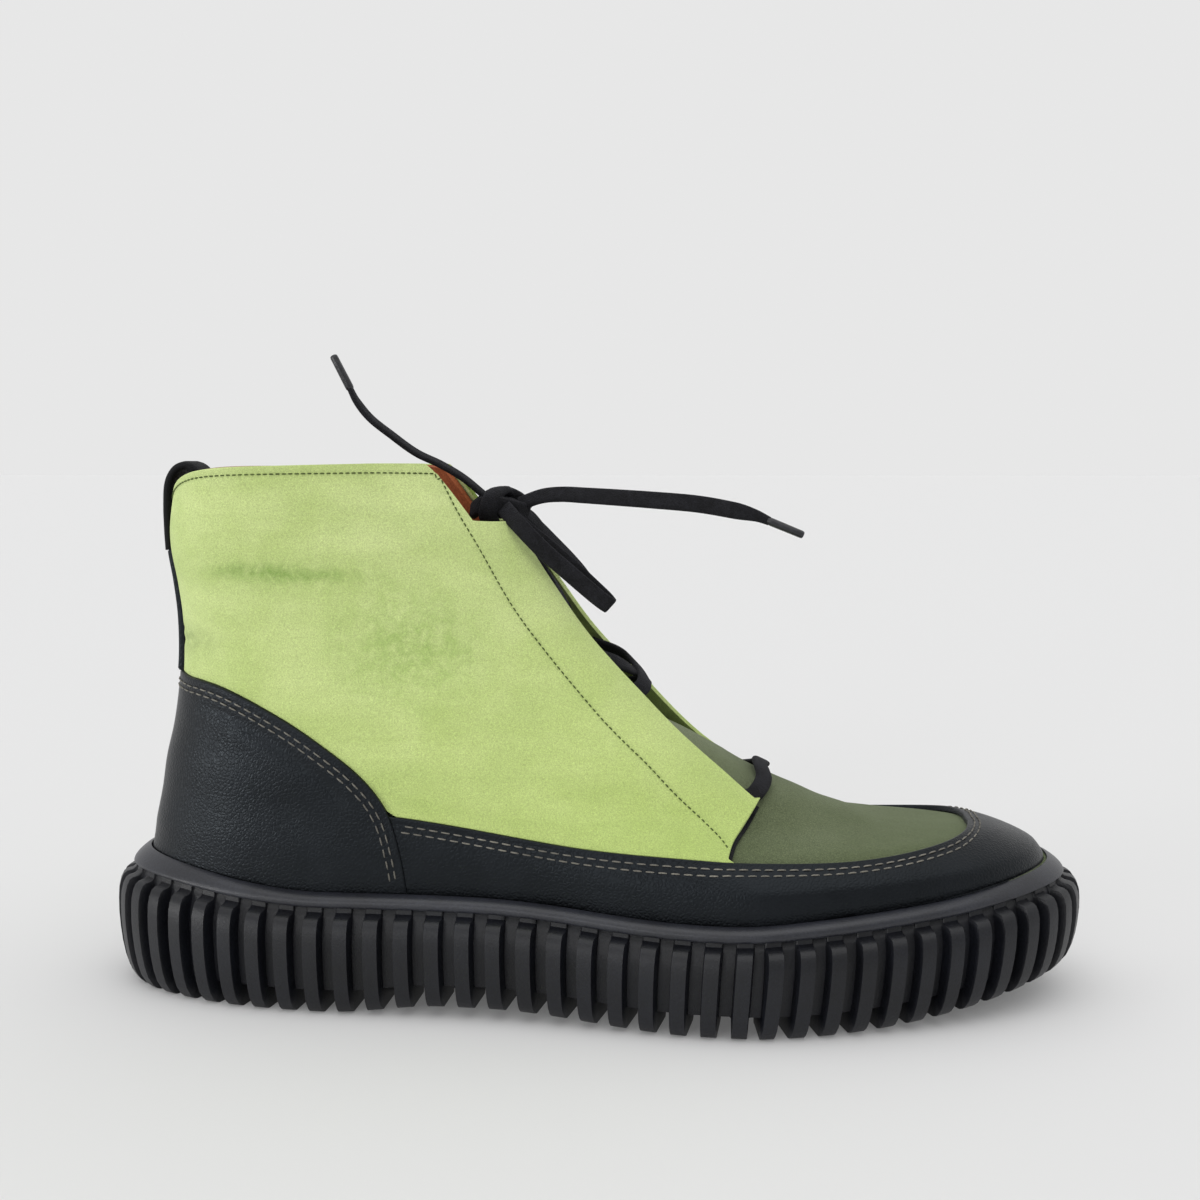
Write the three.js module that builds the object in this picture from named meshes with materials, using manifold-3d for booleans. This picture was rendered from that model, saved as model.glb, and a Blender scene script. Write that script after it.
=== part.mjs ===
// Ankle boot for the right foot, women's size, with a ribbed cup sole.
// Millimetres. +X points to the toe, +Y to the inner (medial) side of the foot, +Z up.
// The floor is z = 0 and the origin is the centre of the boot's footprint.
import * as THREE from "three";
import { mergeVertices } from "three/addons/utils/BufferGeometryUtils.js";
import Module from "manifold-3d";

const wasm = await Module();
wasm.setup();

// Driving sizes of the upper.
const UPPER_LENGTH = 270; // heel back to toe tip, over the leather
const BALL_WIDTH = 96; // widest place of the upper, over the leather
const COLLAR_RISE = 131; // cup floor to the top line at the front of the shaft
const SHAFT_WIDTH = 72; // widest place of the collar
const UPPER_WALL = 1.6; // lining and inner leather of the upper
const PANEL = 1.2; // leather of the quarters that lie on it
const RAND_STEP = 0.5; // the rand stands this far above the quarters
const COUNTER_STEP = 1; // and the heel counter this far
const GAP = 0.3; // clearance between pieces that touch
const TOE_SWING = 6; // how far the toe tip leans to the inner side
const COLLAR_DIP = 9.5; // how far the top line drops at the back seam
const ARCH_NARROWING = 0.09; // share by which the inner waist is drawn in

// Driving sizes of the sole.
const FLOOR_HEEL = 24.7; // cup floor above the ground at the heel
const FLOOR_BALL = 20.8; // and at the ball of the foot
const FLOOR_TOE_RISE = 9; // rise of the cup floor from the ball to the toe tip
const TOE_SPRING = 11.5; // rise of the tread at the toe tip
const WELT_HEIGHT = 3.8; // height of the smooth rubber strip at the sides
const WELT_HEEL_HEIGHT = 5; // and where it climbs the back of the heel
const WELT_SIDE_RISE = 9.6; // welt top above the cup floor at the sides
const WELT_HEEL_RISE = 16.4; // and at the back of the heel
const WELT_WAIST_RISE = 1.4; // extra rise beside the waist
const WELT_TOE_RISE = 1.2; // and round the toe
const WELT_CROWN = 4; // how far its top leans inwards at the heel and the toe
const HEEL_OVERHANG = 11.5; // sole outside the leather at the back
const SIDE_OVERHANG = 9.5; // the same at the sides
const TOE_OVERHANG = 10.9; // and at the toe
const RIB_PITCH = 8.7; // spacing of the ribs round the sole
const RIB_WIDTH = 4.8;
const RIB_DEPTH = 3.8;
const RIB_LEAN = 0.07; // the ribs of the forefoot lean forward by this share of their height
const LUG_HEIGHT = 6.5; // the ribs run on under the sole this deep
const LUG_LENGTH = 13; // and this far inwards
const TREAD_BAR = 6; // width of a cross bar in the middle of the tread
const TREAD_PITCH = 14;
const TREAD_EDGE = 6.5; // the tread starts this far inside the widest line
const WAIST_ARCH = 2.9; // the tread stands this far off the floor at the waist
const INSOLE_THICKNESS = 3;

// Sizes of the throat, the back strip and the lace.
const TONGUE_THICKNESS = 1.6;
const TONGUE_DEPTH = 12; // how far the tongue lies behind the facings at the top
const FLAP_LIFT = 2.9; // free edge of a facing above the tongue at the lowest lace
const FLAP_TOP_SHARE = 0.5; // and the share of that at the laces above
const BACKSTAY_WIDTH = 13;
const BACKSTAY_THICKNESS = 1.8;
const BACKSTAY_FOOT = 0.725 * COLLAR_RISE; // just above the heel counter
const BACKSTAY_TOP = 0.983 * COLLAR_RISE; // just below the pull loop
const LOOP_WIDTH = 15;
const LOOP_THICKNESS = 1.7;
const LACE_WIDTH = 5;
const LACE_THICKNESS = 1.6;

// Grid of the upper's surface: columns round the foot and rings up it.
const COLUMNS = 36;
const FACET_TOLERANCE = 0.05; // facets flatter than this are joined
const LEVELS = [0, 1, 1.5, 2, 2.5, 3, 4, 5, 6.5, 8, 9.5, 11, 12];

const smooth = (a, b, v) => {
  const t = Math.min(1, Math.max(0, (v - a) / (b - a)));
  return t * t * (3 - 2 * t);
};
const mix = (a, b, t) => a + (b - a) * t;
const range = (count) => Array.from({ length: count }, (_, i) => i);

// A smooth curve through (at, value) pairs, flat outside them.
function curve(pairs) {
  const last = pairs.length - 1;
  const slope = (k) => {
    const a = pairs[Math.max(0, k - 1)];
    const b = pairs[Math.min(last, k + 1)];
    return (b[1] - a[1]) / (b[0] - a[0]);
  };
  return (v) => {
    if (v <= pairs[0][0]) return pairs[0][1];
    if (v >= pairs[last][0]) return pairs[last][1];
    const i = pairs.findIndex((p) => p[0] > v) - 1;
    const span = pairs[i + 1][0] - pairs[i][0];
    const t = (v - pairs[i][0]) / span;
    const start = pairs[i][1] * (2 * t ** 3 - 3 * t ** 2 + 1) + slope(i) * span * (t ** 3 - 2 * t ** 2 + t);
    return start + pairs[i + 1][1] * (3 * t ** 2 - 2 * t ** 3) + slope(i + 1) * span * (t ** 3 - t ** 2);
  };
}

// Rings of the upper, from the cup floor up to the collar. Each ring runs round the foot.
// back and front are its ends along the length, as shares of UPPER_LENGTH. riseBack and riseFront
// are their heights above the cup floor, as shares of COLLAR_RISE. heel, waist and fore are half
// widths near the ring's back, middle and front: shares of half BALL_WIDTH below the ring called
// "ankle", and of half SHAFT_WIDTH from there up.
const RINGS = [
  { name: "feather", back: 0.0, riseBack: 0.0, front: 0.985, riseFront: 0.0, heel: 0.68, waist: 0.78, fore: 0.98 },
  { name: "welt", back: 0.0, riseBack: 0.12, front: 0.985, riseFront: 0.066, heel: 0.68, waist: 0.78, fore: 0.98 },
  { name: "toe wall", back: 0.005, riseBack: 0.18, front: 0.977, riseFront: 0.11, heel: 0.69, waist: 0.79, fore: 0.97 },
  { name: "toe box", back: 0.013, riseBack: 0.255, front: 0.925, riseFront: 0.167, heel: 0.68, waist: 0.77, fore: 0.86 },
  { name: "vamp", back: 0.019, riseBack: 0.33, front: 0.865, riseFront: 0.191, heel: 0.67, waist: 0.76, fore: 0.78 },
  { name: "ball", back: 0.028, riseBack: 0.405, front: 0.8, riseFront: 0.22, heel: 0.65, waist: 0.75, fore: 0.7 },
  { name: "instep", back: 0.034, riseBack: 0.48, front: 0.726, riseFront: 0.288, heel: 0.63, waist: 0.73, fore: 0.64 },
  { name: "waist", back: 0.038, riseBack: 0.56, front: 0.655, riseFront: 0.364, heel: 0.62, waist: 0.71, fore: 0.59 },
  { name: "ankle", back: 0.038, riseBack: 0.65, front: 0.573, riseFront: 0.483, heel: 0.82, waist: 0.92, fore: 0.72 },
  { name: "tie", back: 0.034, riseBack: 0.73, front: 0.514, riseFront: 0.597, heel: 0.83, waist: 0.92, fore: 0.71 },
  { name: "shaft", back: 0.028, riseBack: 0.815, front: 0.456, riseFront: 0.741, heel: 0.85, waist: 0.94, fore: 0.72 },
  { name: "throat", back: 0.03, riseBack: 0.9, front: 0.41, riseFront: 0.866, heel: 0.88, waist: 0.97, fore: 0.75 },
  { name: "collar", back: 0.036, riseBack: 0.982, front: 0.35, riseFront: 1.0, heel: 0.9, waist: 1.0, fore: 0.79 },
];
const RING = Object.fromEntries(RINGS.map((r, i) => [r.name, i]));
const TOP = RINGS.length - 1;
const ringCurve = (name) => curve(RINGS.map((r, i) => [i, r[name]]));
const ring = Object.fromEntries(["back", "riseBack", "front", "riseFront"].map((n) => [n, ringCurve(n)]));
const halfWidthOf = (i) => (i < RING.ankle ? BALL_WIDTH : SHAFT_WIDTH) / 2;
const widthCurves = ["heel", "waist", "fore"].map((n) => curve(RINGS.map((r, i) => [i, r[n] * halfWidthOf(i)])));
const STATIONS = [0.15, 0.45, 0.72]; // where heel, waist and fore are measured along a ring
const BACK_ROUND = 0.74; // exponent of the rounding at the heel: under 1 is blunt
const FRONT_ROUND = 0.86; // and at the toe
const BALL_SKEW = 0.035; // the outer ball lies behind the inner one by twice this share

const alongX = (share) => (share - 0.5) * UPPER_LENGTH;
const shareOf = (x) => x / UPPER_LENGTH + 0.5;

// Heights along the boot: cup floor, tread, and the welt's upper and lower edge.
const floorAt = (share) =>
  mix(FLOOR_HEEL, FLOOR_BALL, smooth(0.25, 0.62, share)) + FLOOR_TOE_RISE * Math.max(0, (share - 0.64) / 0.36) ** 1.4;
const springAt = (share) => TOE_SPRING * Math.max(0, (share - 0.7) / 0.3) ** 2;
const archAt = (share) => WAIST_ARCH * smooth(0.22, 0.35, share) * (1 - smooth(0.4, 0.62, share));
const treadAt = (share) => springAt(share) + archAt(share);
const heelClimb = (share) => 1 - smooth(-0.03, 0.22, share);
const toeClimb = (share) => smooth(0.86, 0.98, share);
const atWaist = (share) => Math.exp(-(((share - 0.44) / 0.12) ** 2));
const weltRise = (share) =>
  mix(WELT_SIDE_RISE, WELT_HEEL_RISE, heelClimb(share)) + WELT_WAIST_RISE * atWaist(share) + WELT_TOE_RISE * toeClimb(share);
const weltTop = (share) => floorAt(share) + weltRise(share);
const weltBottom = (share) => weltTop(share) - mix(WELT_HEIGHT, WELT_HEEL_HEIGHT, heelClimb(share));

// Plan of a ring: turn 0 is the back seam and 0.5 the toe, and the outer side comes first.
function ringPlan(turn, s) {
  const outer = turn <= 0.5;
  const phi = 2 * Math.PI * (outer ? turn : 1 - turn);
  const along = (1 - Math.cos(phi)) / 2;
  const x = alongX(mix(ring.back(s), ring.front(s), along));
  const footness = smooth(0.45, 0.85, ring.front(s));
  const skewed = along + (outer ? 1 : -1) * BALL_SKEW * footness;
  const full = (at) => Math.sqrt(4 * at * (1 - at)) ** 0.8;
  const envelope = curve(STATIONS.map((at, i) => [at, widthCurves[i](s) / full(at)]))(skewed);
  const round = mix(BACK_ROUND, FRONT_ROUND, smooth(0.2, 0.8, along));
  const arch = outer ? 1 : 1 - ARCH_NARROWING * footness * Math.exp(-(((along - 0.42) / 0.16) ** 2));
  const half = envelope * arch * Math.sin(phi) ** round;
  const middle = TOE_SWING * footness * smooth(0.5, 1, shareOf(x));
  return { x, y: middle + (outer ? -half : half), along };
}

// The outside of the leather. Every panel, lining and crease is an offset from this surface.
function surface(turn, s) {
  const p = ringPlan(((turn % 1) + 1) % 1, s);
  const share = shareOf(p.x);
  const low = weltRise(share) / COLLAR_RISE;
  let rise = mix(ring.riseBack(s), ring.riseFront(s), p.along);
  if (s < 1) rise = low * s;
  else if (s < 2) rise = mix(low, rise, s - 1);
  const dip = COLLAR_DIP * smooth(RING.shaft, TOP, s) * Math.exp(-p.along / 0.07);
  return new THREE.Vector3(p.x, p.y, floorAt(share) + rise * COLLAR_RISE - dip);
}

const STEP = 1e-3;
function normalAt(turn, s) {
  const round = surface(turn + STEP, s).sub(surface(turn - STEP, s));
  const low = Math.min(TOP - 0.04, Math.max(0, s - 0.02));
  const upward = surface(turn, low + 0.04).sub(surface(turn, low));
  return round.cross(upward).normalize();
}
const offsetPoint = (turn, s, offset) => surface(turn, s).addScaledVector(normalAt(turn, s), offset);

// A point beside the boot: out from the leather's lower edge in plan, at a height of its own.
function besidePoint(turn, out, z) {
  const at = surface(turn, 1);
  const way = surface(turn + STEP, 1).sub(surface(turn - STEP, 1));
  const length = Math.hypot(way.x, way.y);
  return new THREE.Vector3(at.x + (way.y / length) * out, at.y - (way.x / length) * out, z);
}

// Solids from rows of points. Each row is a closed loop, and the rows follow one another. With
// closeRows the last row joins the first, and otherwise both ends are closed straight across.
// From the row backFrom on, the facets are split the other way, so that the inside of one layer
// lies parallel to the outside of the next.
function solidFromRows(rows, closeRows = false, backFrom = rows.length) {
  const n = rows[0].length;
  const at = (r, c) => (r % rows.length) * n + (c % n);
  const index = [];
  for (const r of range(closeRows ? rows.length : rows.length - 1)) {
    for (const c of range(n)) {
      const [a, b, d, e] = [at(r, c), at(r, c + 1), at(r + 1, c + 1), at(r + 1, c)];
      index.push(...(r < backFrom ? [a, b, d, a, d, e] : [a, b, e, b, d, e]));
    }
  }
  if (!closeRows) {
    const end = rows.length - 1;
    for (const c of range(n / 2 - 1)) {
      const [a, b, d, e] = [c, c + 1, n - 2 - c, n - 1 - c];
      index.push(at(0, a), at(0, d), at(0, b), at(0, a), at(0, e), at(0, d));
      index.push(at(end, a), at(end, b), at(end, d), at(end, a), at(end, d), at(end, e));
    }
  }
  const points = new Float32Array(rows.flat().flatMap((p) => [p.x, p.y, p.z]));
  return solidFrom(points, index);
}

function solidFrom(points, index) {
  const corner = (i) => new THREE.Vector3().fromArray(points, index[i] * 3);
  let volume = 0;
  for (let i = 0; i < index.length; i += 3) volume += corner(i).dot(corner(i + 1).cross(corner(i + 2)));
  const triVerts = new Uint32Array(volume < 0 ? index.slice().reverse() : index);
  return new wasm.Manifold(new wasm.Mesh({ numProp: 3, vertProperties: points, triVerts }));
}

function solidFromGeometry(geometry) {
  const bare = new THREE.BufferGeometry().setAttribute("position", geometry.getAttribute("position"));
  if (geometry.index) bare.setIndex(geometry.index);
  const welded = mergeVertices(bare, 1e-4);
  return solidFrom(welded.attributes.position.array, [...welded.index.array]);
}

function geometryFrom(solid) {
  const m = solid.simplify(FACET_TOLERANCE).getMesh();
  const xyz = new Float32Array(m.numVert * 3);
  for (const i of range(m.numVert)) {
    xyz.set(m.vertProperties.subarray(i * m.numProp, i * m.numProp + 3), i * 3);
  }
  return new THREE.BufferGeometry().setAttribute("position", new THREE.BufferAttribute(xyz, 3)).setIndex([...m.triVerts]);
}

// A ring of leather between two offsets. Each level is a ring number, or a function of the turn.
const TURNS = range(COLUMNS).map((i) => (i + 0.5) / COLUMNS);
const valueAt = (value, turn, s) => (typeof value === "function" ? value(turn, s) : value);
function layer(inner, outer, levels = LEVELS) {
  const rowAt = (offset) => (level) =>
    TURNS.map((t) => offsetPoint(t, valueAt(level, t), valueAt(offset, t, valueAt(level, t))));
  return solidFromRows([...levels.map(rowAt(outer)), ...levels.map(rowAt(inner)).reverse()], true, levels.length);
}

// A cutter with the outline seen from the side, right through the boot. Its points are x, z.
function sideCutter(outline, halfDepth = 90) {
  const shape = new THREE.Shape(outline.map(([x, z]) => new THREE.Vector2(x, z)));
  const block = new THREE.ExtrudeGeometry(shape, { depth: 2 * halfDepth, bevelEnabled: false, steps: 1 });
  return solidFromGeometry(block.rotateX(Math.PI / 2).translate(0, halfDepth, 0));
}
const boxAt = (size, centre) => solidFromGeometry(new THREE.BoxGeometry(...size).translate(...centre));

// The throat, looked at square to the line up the instep. Half widths go with shares of its length.
const THROAT_BASE = new THREE.Vector3(0.176 * UPPER_LENGTH, 0, 0.458 * COLLAR_RISE);
const THROAT_TOP = new THREE.Vector3(-0.2 * UPPER_LENGTH, 0, 1.275 * COLLAR_RISE);
const THROAT_LENGTH = THROAT_BASE.distanceTo(THROAT_TOP);
const throatUp = THROAT_TOP.clone().sub(THROAT_BASE).normalize();
const acrossFoot = new THREE.Vector3(0, 1, 0);
const throatInward = throatUp.clone().cross(acrossFoot);
const throatShare = (s) => surface(0.5, s).sub(THROAT_BASE).dot(throatUp) / THROAT_LENGTH;
const FACING_EDGE = [[-0.1, 0.53], [0, 0.5], [0.1, 0.406], [0.2, 0.346], [0.3, 0.288], [0.42, 0.242], [0.7, 0.175], [1, 0.175]];
const SLOT_EDGE = [[0, 0.604], [0.2, 0.5], [0.45, 0.396], [0.7, 0.354], [1, 0.354]];
const widthCurve = (pairs) => curve(pairs.map(([at, width]) => [at, (width * BALL_WIDTH) / 2]));
const facingGap = widthCurve(FACING_EDGE);
const slotGap = widthCurve(SLOT_EDGE);
const SLOT_BASE = -0.03; // where the tongue is sewn to the vamp

// The inner facing stands further from the middle at its foot.
const innerExtra = curve([[0, 4.5], [0.12, 3.5], [0.3, 0]]);
function throatCutter(halfWidth, base, grow = 0, widen = () => 0, steps = 12) {
  const sides = range(steps + 1).map((i) => {
    const share = mix(base, 1.1, i / steps);
    return new THREE.Vector2(share * THROAT_LENGTH, halfWidth(share) + grow);
  });
  const foot = base * THROAT_LENGTH - grow;
  const rounding = [[0.5, 3.4], [0.8, 2]].map(([w, d]) => new THREE.Vector2(foot - d, sides[0].y * w));
  const half = [...rounding, ...sides];
  const inner = half.map((p) => new THREE.Vector2(p.x, p.y + widen(p.x / THROAT_LENGTH)));
  const outer = half.map((p) => new THREE.Vector2(p.x, -p.y)).reverse();
  const block = new THREE.ExtrudeGeometry(new THREE.Shape([...inner, ...outer]), {
    depth: 60,
    bevelEnabled: false,
    steps: 1,
  });
  block.translate(0, 0, -30);
  const frame = new THREE.Matrix4().makeBasis(throatUp, acrossFoot, throatInward).setPosition(THROAT_BASE);
  return solidFromGeometry(block.applyMatrix4(frame));
}

// The turn at which the surface is this far from its middle, on the outer (-1) or inner (1) side.
function turnAtWidth(s, width, side) {
  let [near, far] = [0, 0.2];
  const middle = surface(0.5, s).y;
  for (const _ of range(24)) {
    const t = (near + far) / 2;
    if (Math.abs(surface(0.5 + side * t, s).y - middle) < width) near = t;
    else far = t;
  }
  return 0.5 + side * near;
}
const fromMiddle = (turn, s) => Math.abs(surface(turn, s).y - surface(0.5, s).y);

// Outlines seen from the side: x as a share of UPPER_LENGTH, z as a share of COLLAR_RISE.
const outline = (rows) => rows.map(({ x, z }) => [x * UPPER_LENGTH, z * COLLAR_RISE]);
const NOTCH = outline([
  { x: -0.1815, z: 1.221 },
  { x: -0.1759, z: 1.172 },
  { x: -0.1648, z: 1.145 },
  { x: -0.1519, z: 1.103 },
  { x: -0.1389, z: 1.064 },
  { x: -0.1, z: 1.05 },
  { x: -0.0185, z: 1.031 },
  { x: 0, z: 1.221 },
]); // above the facings, in front of the collar
const FACING_FOOT = outline([
  { x: 0.1735, z: 0.75 },
  { x: 0.1735, z: 0.448 },
  { x: 0.162, z: 0.416 },
  { x: 0.149, z: 0.388 },
  { x: 0.143, z: 0.351 },
  { x: 0.1407, z: 0.115 },
  { x: 0.63, z: 0.115 },
  { x: 0.63, z: 0.75 },
]); // in front of the quarters
const COUNTER_TOP = outline([
  { x: -0.5556, z: 0.725 },
  { x: -0.4556, z: 0.7145 },
  { x: -0.3926, z: 0.693 },
  { x: -0.3296, z: 0.6374 },
  { x: -0.2778, z: 0.5725 },
  { x: -0.237, z: 0.5076 },
  { x: -0.2111, z: 0.4389 },
  { x: -0.1963, z: 0.3435 },
  { x: -0.1889, z: 0.2443 },
  { x: -0.1852, z: 0.0916 },
]); // top and front edge of the heel counter
const counterOutline = (grow) => {
  const line = new THREE.SplineCurve(COUNTER_TOP.map(([x, z]) => new THREE.Vector2(x, z)));
  const points = range(19).map((i) => {
    const t = i / 18;
    const way = line.getTangent(t);
    const p = line.getPoint(t);
    return [p.x - way.y * grow, p.y + way.x * grow];
  });
  return [...points, [COUNTER_TOP[0][0], COUNTER_TOP[9][1]]];
};

// The rand's upper edge, as a ring number, by how far round the boot it is from the heel to the toe.
const randEdge = curve([[0.1, 3.3], [0.19, 3.2], [0.25, 2.95], [0.3, 3.02], [0.36, 2.78], [0.41, 2.92], [0.47, 3.3], [0.5, 3.4]]);
const mirroredTurn = (turn) => Math.min(turn, 1 - turn);
const randTop = (turn) => randEdge(mirroredTurn(turn));
// Rand and counter end just above the sole, behind the welt.
const seat = (turn) => {
  const share = shareOf(surface(turn, 1).x);
  return 1 - (weltTop(share) - weltBottom(share) - GAP) / weltRise(share);
};
const levelGap = (turn, s) => GAP / (surface(turn, s + 0.05).distanceTo(surface(turn, s - 0.05)) / 0.1);

// Upper: one hollow shell, open underneath, at the collar and at the throat.
const SKIN = PANEL + GAP;
function makeUpper() {
  return layer(-SKIN - UPPER_WALL, -SKIN).subtract(throatCutter(slotGap, SLOT_BASE)).subtract(sideCutter(NOTCH));
}

// Tongue: fills the throat, level with the vamp below and drawn in behind the facings above.
const tongueSink = curve([[0.1, 0], [0.17, 0.1], [0.25, 0.32], [0.44, 0.56], [0.7, 0.92], [0.85, 1]]);
function tonguePoint(turn, s, offset) {
  const share = throatShare(s);
  const bowl = 1 - smooth(0.6, 1, fromMiddle(turn, s) / slotGap(share));
  return offsetPoint(turn, s, offset).addScaledVector(throatInward, TONGUE_DEPTH * tongueSink(share) * bowl);
}
function makeTongue() {
  const levels = LEVELS.filter((s) => s >= 4);
  const rows = (offset) => levels.map((s) => TURNS.map((t) => tonguePoint(t, s, offset)));
  const band = solidFromRows([...rows(-SKIN), ...rows(-SKIN - TONGUE_THICKNESS).reverse()], true, levels.length);
  return band.intersect(throatCutter(slotGap, SLOT_BASE, -GAP)).subtract(sideCutter(NOTCH));
}

// Quarters: the outer leather of the sides. Their front edges stand free of the tongue as facings.
function flapLift(turn, s) {
  const share = throatShare(s);
  const edge = facingGap(share);
  if (turn < 0.25 || turn > 0.75) return 0;
  const rise = FLAP_LIFT * mix(1, FLAP_TOP_SHARE, smooth(0.25, 0.5, share)) * (1 - smooth(0.8, 0.95, share));
  return rise * (1 - smooth(edge + 1, edge + 11, fromMiddle(turn, s)));
}
function makeQuarters() {
  const levels = LEVELS.filter((s) => s >= 2);
  const both = layer((t, s) => flapLift(t, s) - PANEL, flapLift, levels)
    .intersect(layer(-4, 8, [(t) => randTop(t) + levelGap(t, 3), 4.5, 6, 8, 10, TOP + 0.001]))
    .subtract(throatCutter(facingGap, -0.3, 0, innerExtra))
    .subtract(sideCutter(FACING_FOOT))
    .subtract(sideCutter(counterOutline(GAP)))
    .subtract(sideCutter(NOTCH));
  const half = (side) => both.intersect(boxAt([300, 100, 300], [0, side * (50 + GAP / 2), 100]));
  return { quarter_outer: half(-1), quarter_inner: half(1) };
}

// Rand: the strip of leather round the toe and the sides. Counter: the cap round the heel.
function makeRand() {
  const region = layer(-4, 8, [seat, 1.5, 2.2, randTop]);
  const band = layer(-PANEL, RAND_STEP, LEVELS.filter((s) => s <= 5));
  return band.intersect(region).subtract(sideCutter(counterOutline(GAP)));
}
function makeCounter() {
  const region = layer(-4, 8, [seat, 2, 4, 6, 9]);
  const band = layer(-PANEL, COUNTER_STEP, LEVELS.filter((s) => s <= 9));
  return band.intersect(region).intersect(sideCutter(counterOutline(0)));
}

// Sole outside the leather, by the way the side faces: back, sideways or forward.
function overhangAt(turn) {
  const way = besidePoint(turn, 1, 0).sub(besidePoint(turn, 0, 0));
  return mix(SIDE_OVERHANG, way.x < 0 ? HEEL_OVERHANG : TOE_OVERHANG, way.x * way.x);
}
const WELT_INSET = 4.2; // welt's edge inside the widest line of the sole
function makeWelt() {
  const section = (turn) => {
    const share = shareOf(surface(turn, 1).x);
    const [top, bottom] = [weltTop(share), weltBottom(share)];
    const inner = COUNTER_STEP + GAP;
    const crown = WELT_CROWN * Math.min(1, heelClimb(share) + toeClimb(share));
    const outer = (down) => overhangAt(turn) - WELT_INSET - crown * (1 - down);
    const at = (across, down) => besidePoint(turn, mix(inner, outer(down), across), mix(top, bottom, down));
    return [at(0, 0.02), at(0.5, 0.12), at(0.86, 0.3), at(1, 0.6), at(0.97, 1), at(0, 1)];
  };
  const sections = TURNS.map(section);
  return solidFromRows(range(6).map((k) => sections.map((points) => points[k])), true);
}

// Cup sole. Each row gives the height as a share of the way from the tread to the welt, and how
// far ribs and grooves lie inside the widest line.
const SOLE_ROWS = [
  { height: 1, rib: 15, groove: 15 },
  { height: 1, rib: 3.6, groove: 6.2 },
  { height: 0.72, rib: 0, groove: RIB_DEPTH },
  { height: 0.32, rib: 0.9, groove: RIB_DEPTH + 0.8 },
  { height: 0.1, rib: 3.2, groove: RIB_DEPTH + 2.2 },
  { height: 0, rib: TREAD_EDGE, groove: TREAD_EDGE + 1 },
  { height: 0, rib: TREAD_EDGE + LUG_LENGTH, groove: TREAD_EDGE + LUG_LENGTH },
];
const TREAD_INSET = TREAD_EDGE + LUG_LENGTH + 1;

// Turns at equal steps along the sole's widest line, so that the ribs are evenly spaced.
function evenTurns() {
  const samples = range(1441).map((i) => i / 1440);
  const points = samples.map((t) => besidePoint(t, overhangAt(t), 0));
  const lengths = [0];
  for (const i of range(1440)) lengths.push(lengths[i] + points[i + 1].distanceTo(points[i]));
  const girth = lengths[1440];
  const turnAt = (run) => {
    const goal = (((run / girth) % 1) + 1) % 1 * girth;
    const i = Math.max(1, lengths.findIndex((v) => v >= goal));
    return mix(samples[i - 1], samples[i], (goal - lengths[i - 1]) / (lengths[i] - lengths[i - 1]));
  };
  return { girth, turnAt };
}

function makeOutsole() {
  const { girth, turnAt } = evenTurns();
  const ribs = Math.round(girth / RIB_PITCH / 2) * 2;
  const pitch = girth / ribs;
  const corners = range(ribs).flatMap((i) => {
    const start = i * pitch + pitch / 2;
    const [low, high] = [start - RIB_WIDTH / 2, start + RIB_WIDTH / 2];
    return [{ run: low, rib: false }, { run: low + 0.5, rib: true }, { run: high - 0.5, rib: true }, { run: high, rib: false }];
  });
  const pointOf = (row, corner) => {
    const share = shareOf(surface(turnAt(corner.run), 1).x);
    const ground = treadAt(share);
    const ceiling = weltBottom(share) - GAP;
    const outerSide = turnAt(corner.run) < 0.5 ? 1 : -1;
    const lean = outerSide * RIB_LEAN * smooth(0.4, 0.7, share) * (1 - smooth(0.93, 1, share)) * (ceiling - ground);
    const turn = turnAt(corner.run + lean * (row.height - 0.5));
    const z = Math.max(mix(ground, ceiling, row.height), corner.rib ? 0 : ground + LUG_HEIGHT);
    return besidePoint(turn, overhangAt(turn) - (corner.rib ? row.rib : row.groove), z);
  };
  const rows = SOLE_ROWS.map((row) => corners.map((corner) => pointOf(row, corner)));
  const floorRow = corners.map((corner) => {
    const turn = turnAt(corner.run);
    return besidePoint(turn, overhangAt(turn) - TREAD_INSET, LUG_HEIGHT + treadAt(shareOf(surface(turn, 1).x)));
  });
  const block = solidFromRows([...rows, floorRow]);
  const cupRow = (rise) =>
    TURNS.map((t) => besidePoint(t, GAP - SKIN, rise + floorAt(shareOf(surface(t, 1).x)) - GAP));
  const cup = solidFromRows([cupRow(0), cupRow(60)]);
  const middleRow = (z) => TURNS.map((t) => besidePoint(t, overhangAt(t) - TREAD_INSET - 2, z));
  const middle = solidFromRows([middleRow(-5), middleRow(30)]);
  const bars = range(17).map((i) => {
    const x = (i - 8) * TREAD_PITCH;
    const ground = treadAt(shareOf(x));
    return boxAt([TREAD_BAR, 120, LUG_HEIGHT + 1], [x, 0, ground + (LUG_HEIGHT + 1) / 2]);
  });
  return block.subtract(cup).add(wasm.Manifold.union(bars).intersect(middle));
}

function makeInsole() {
  const row = (rise) =>
    TURNS.map((t) => besidePoint(t, -SKIN - UPPER_WALL - GAP, rise + floorAt(shareOf(surface(t, 1).x))));
  return solidFromRows([row(0), row(INSOLE_THICKNESS)]);
}

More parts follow.
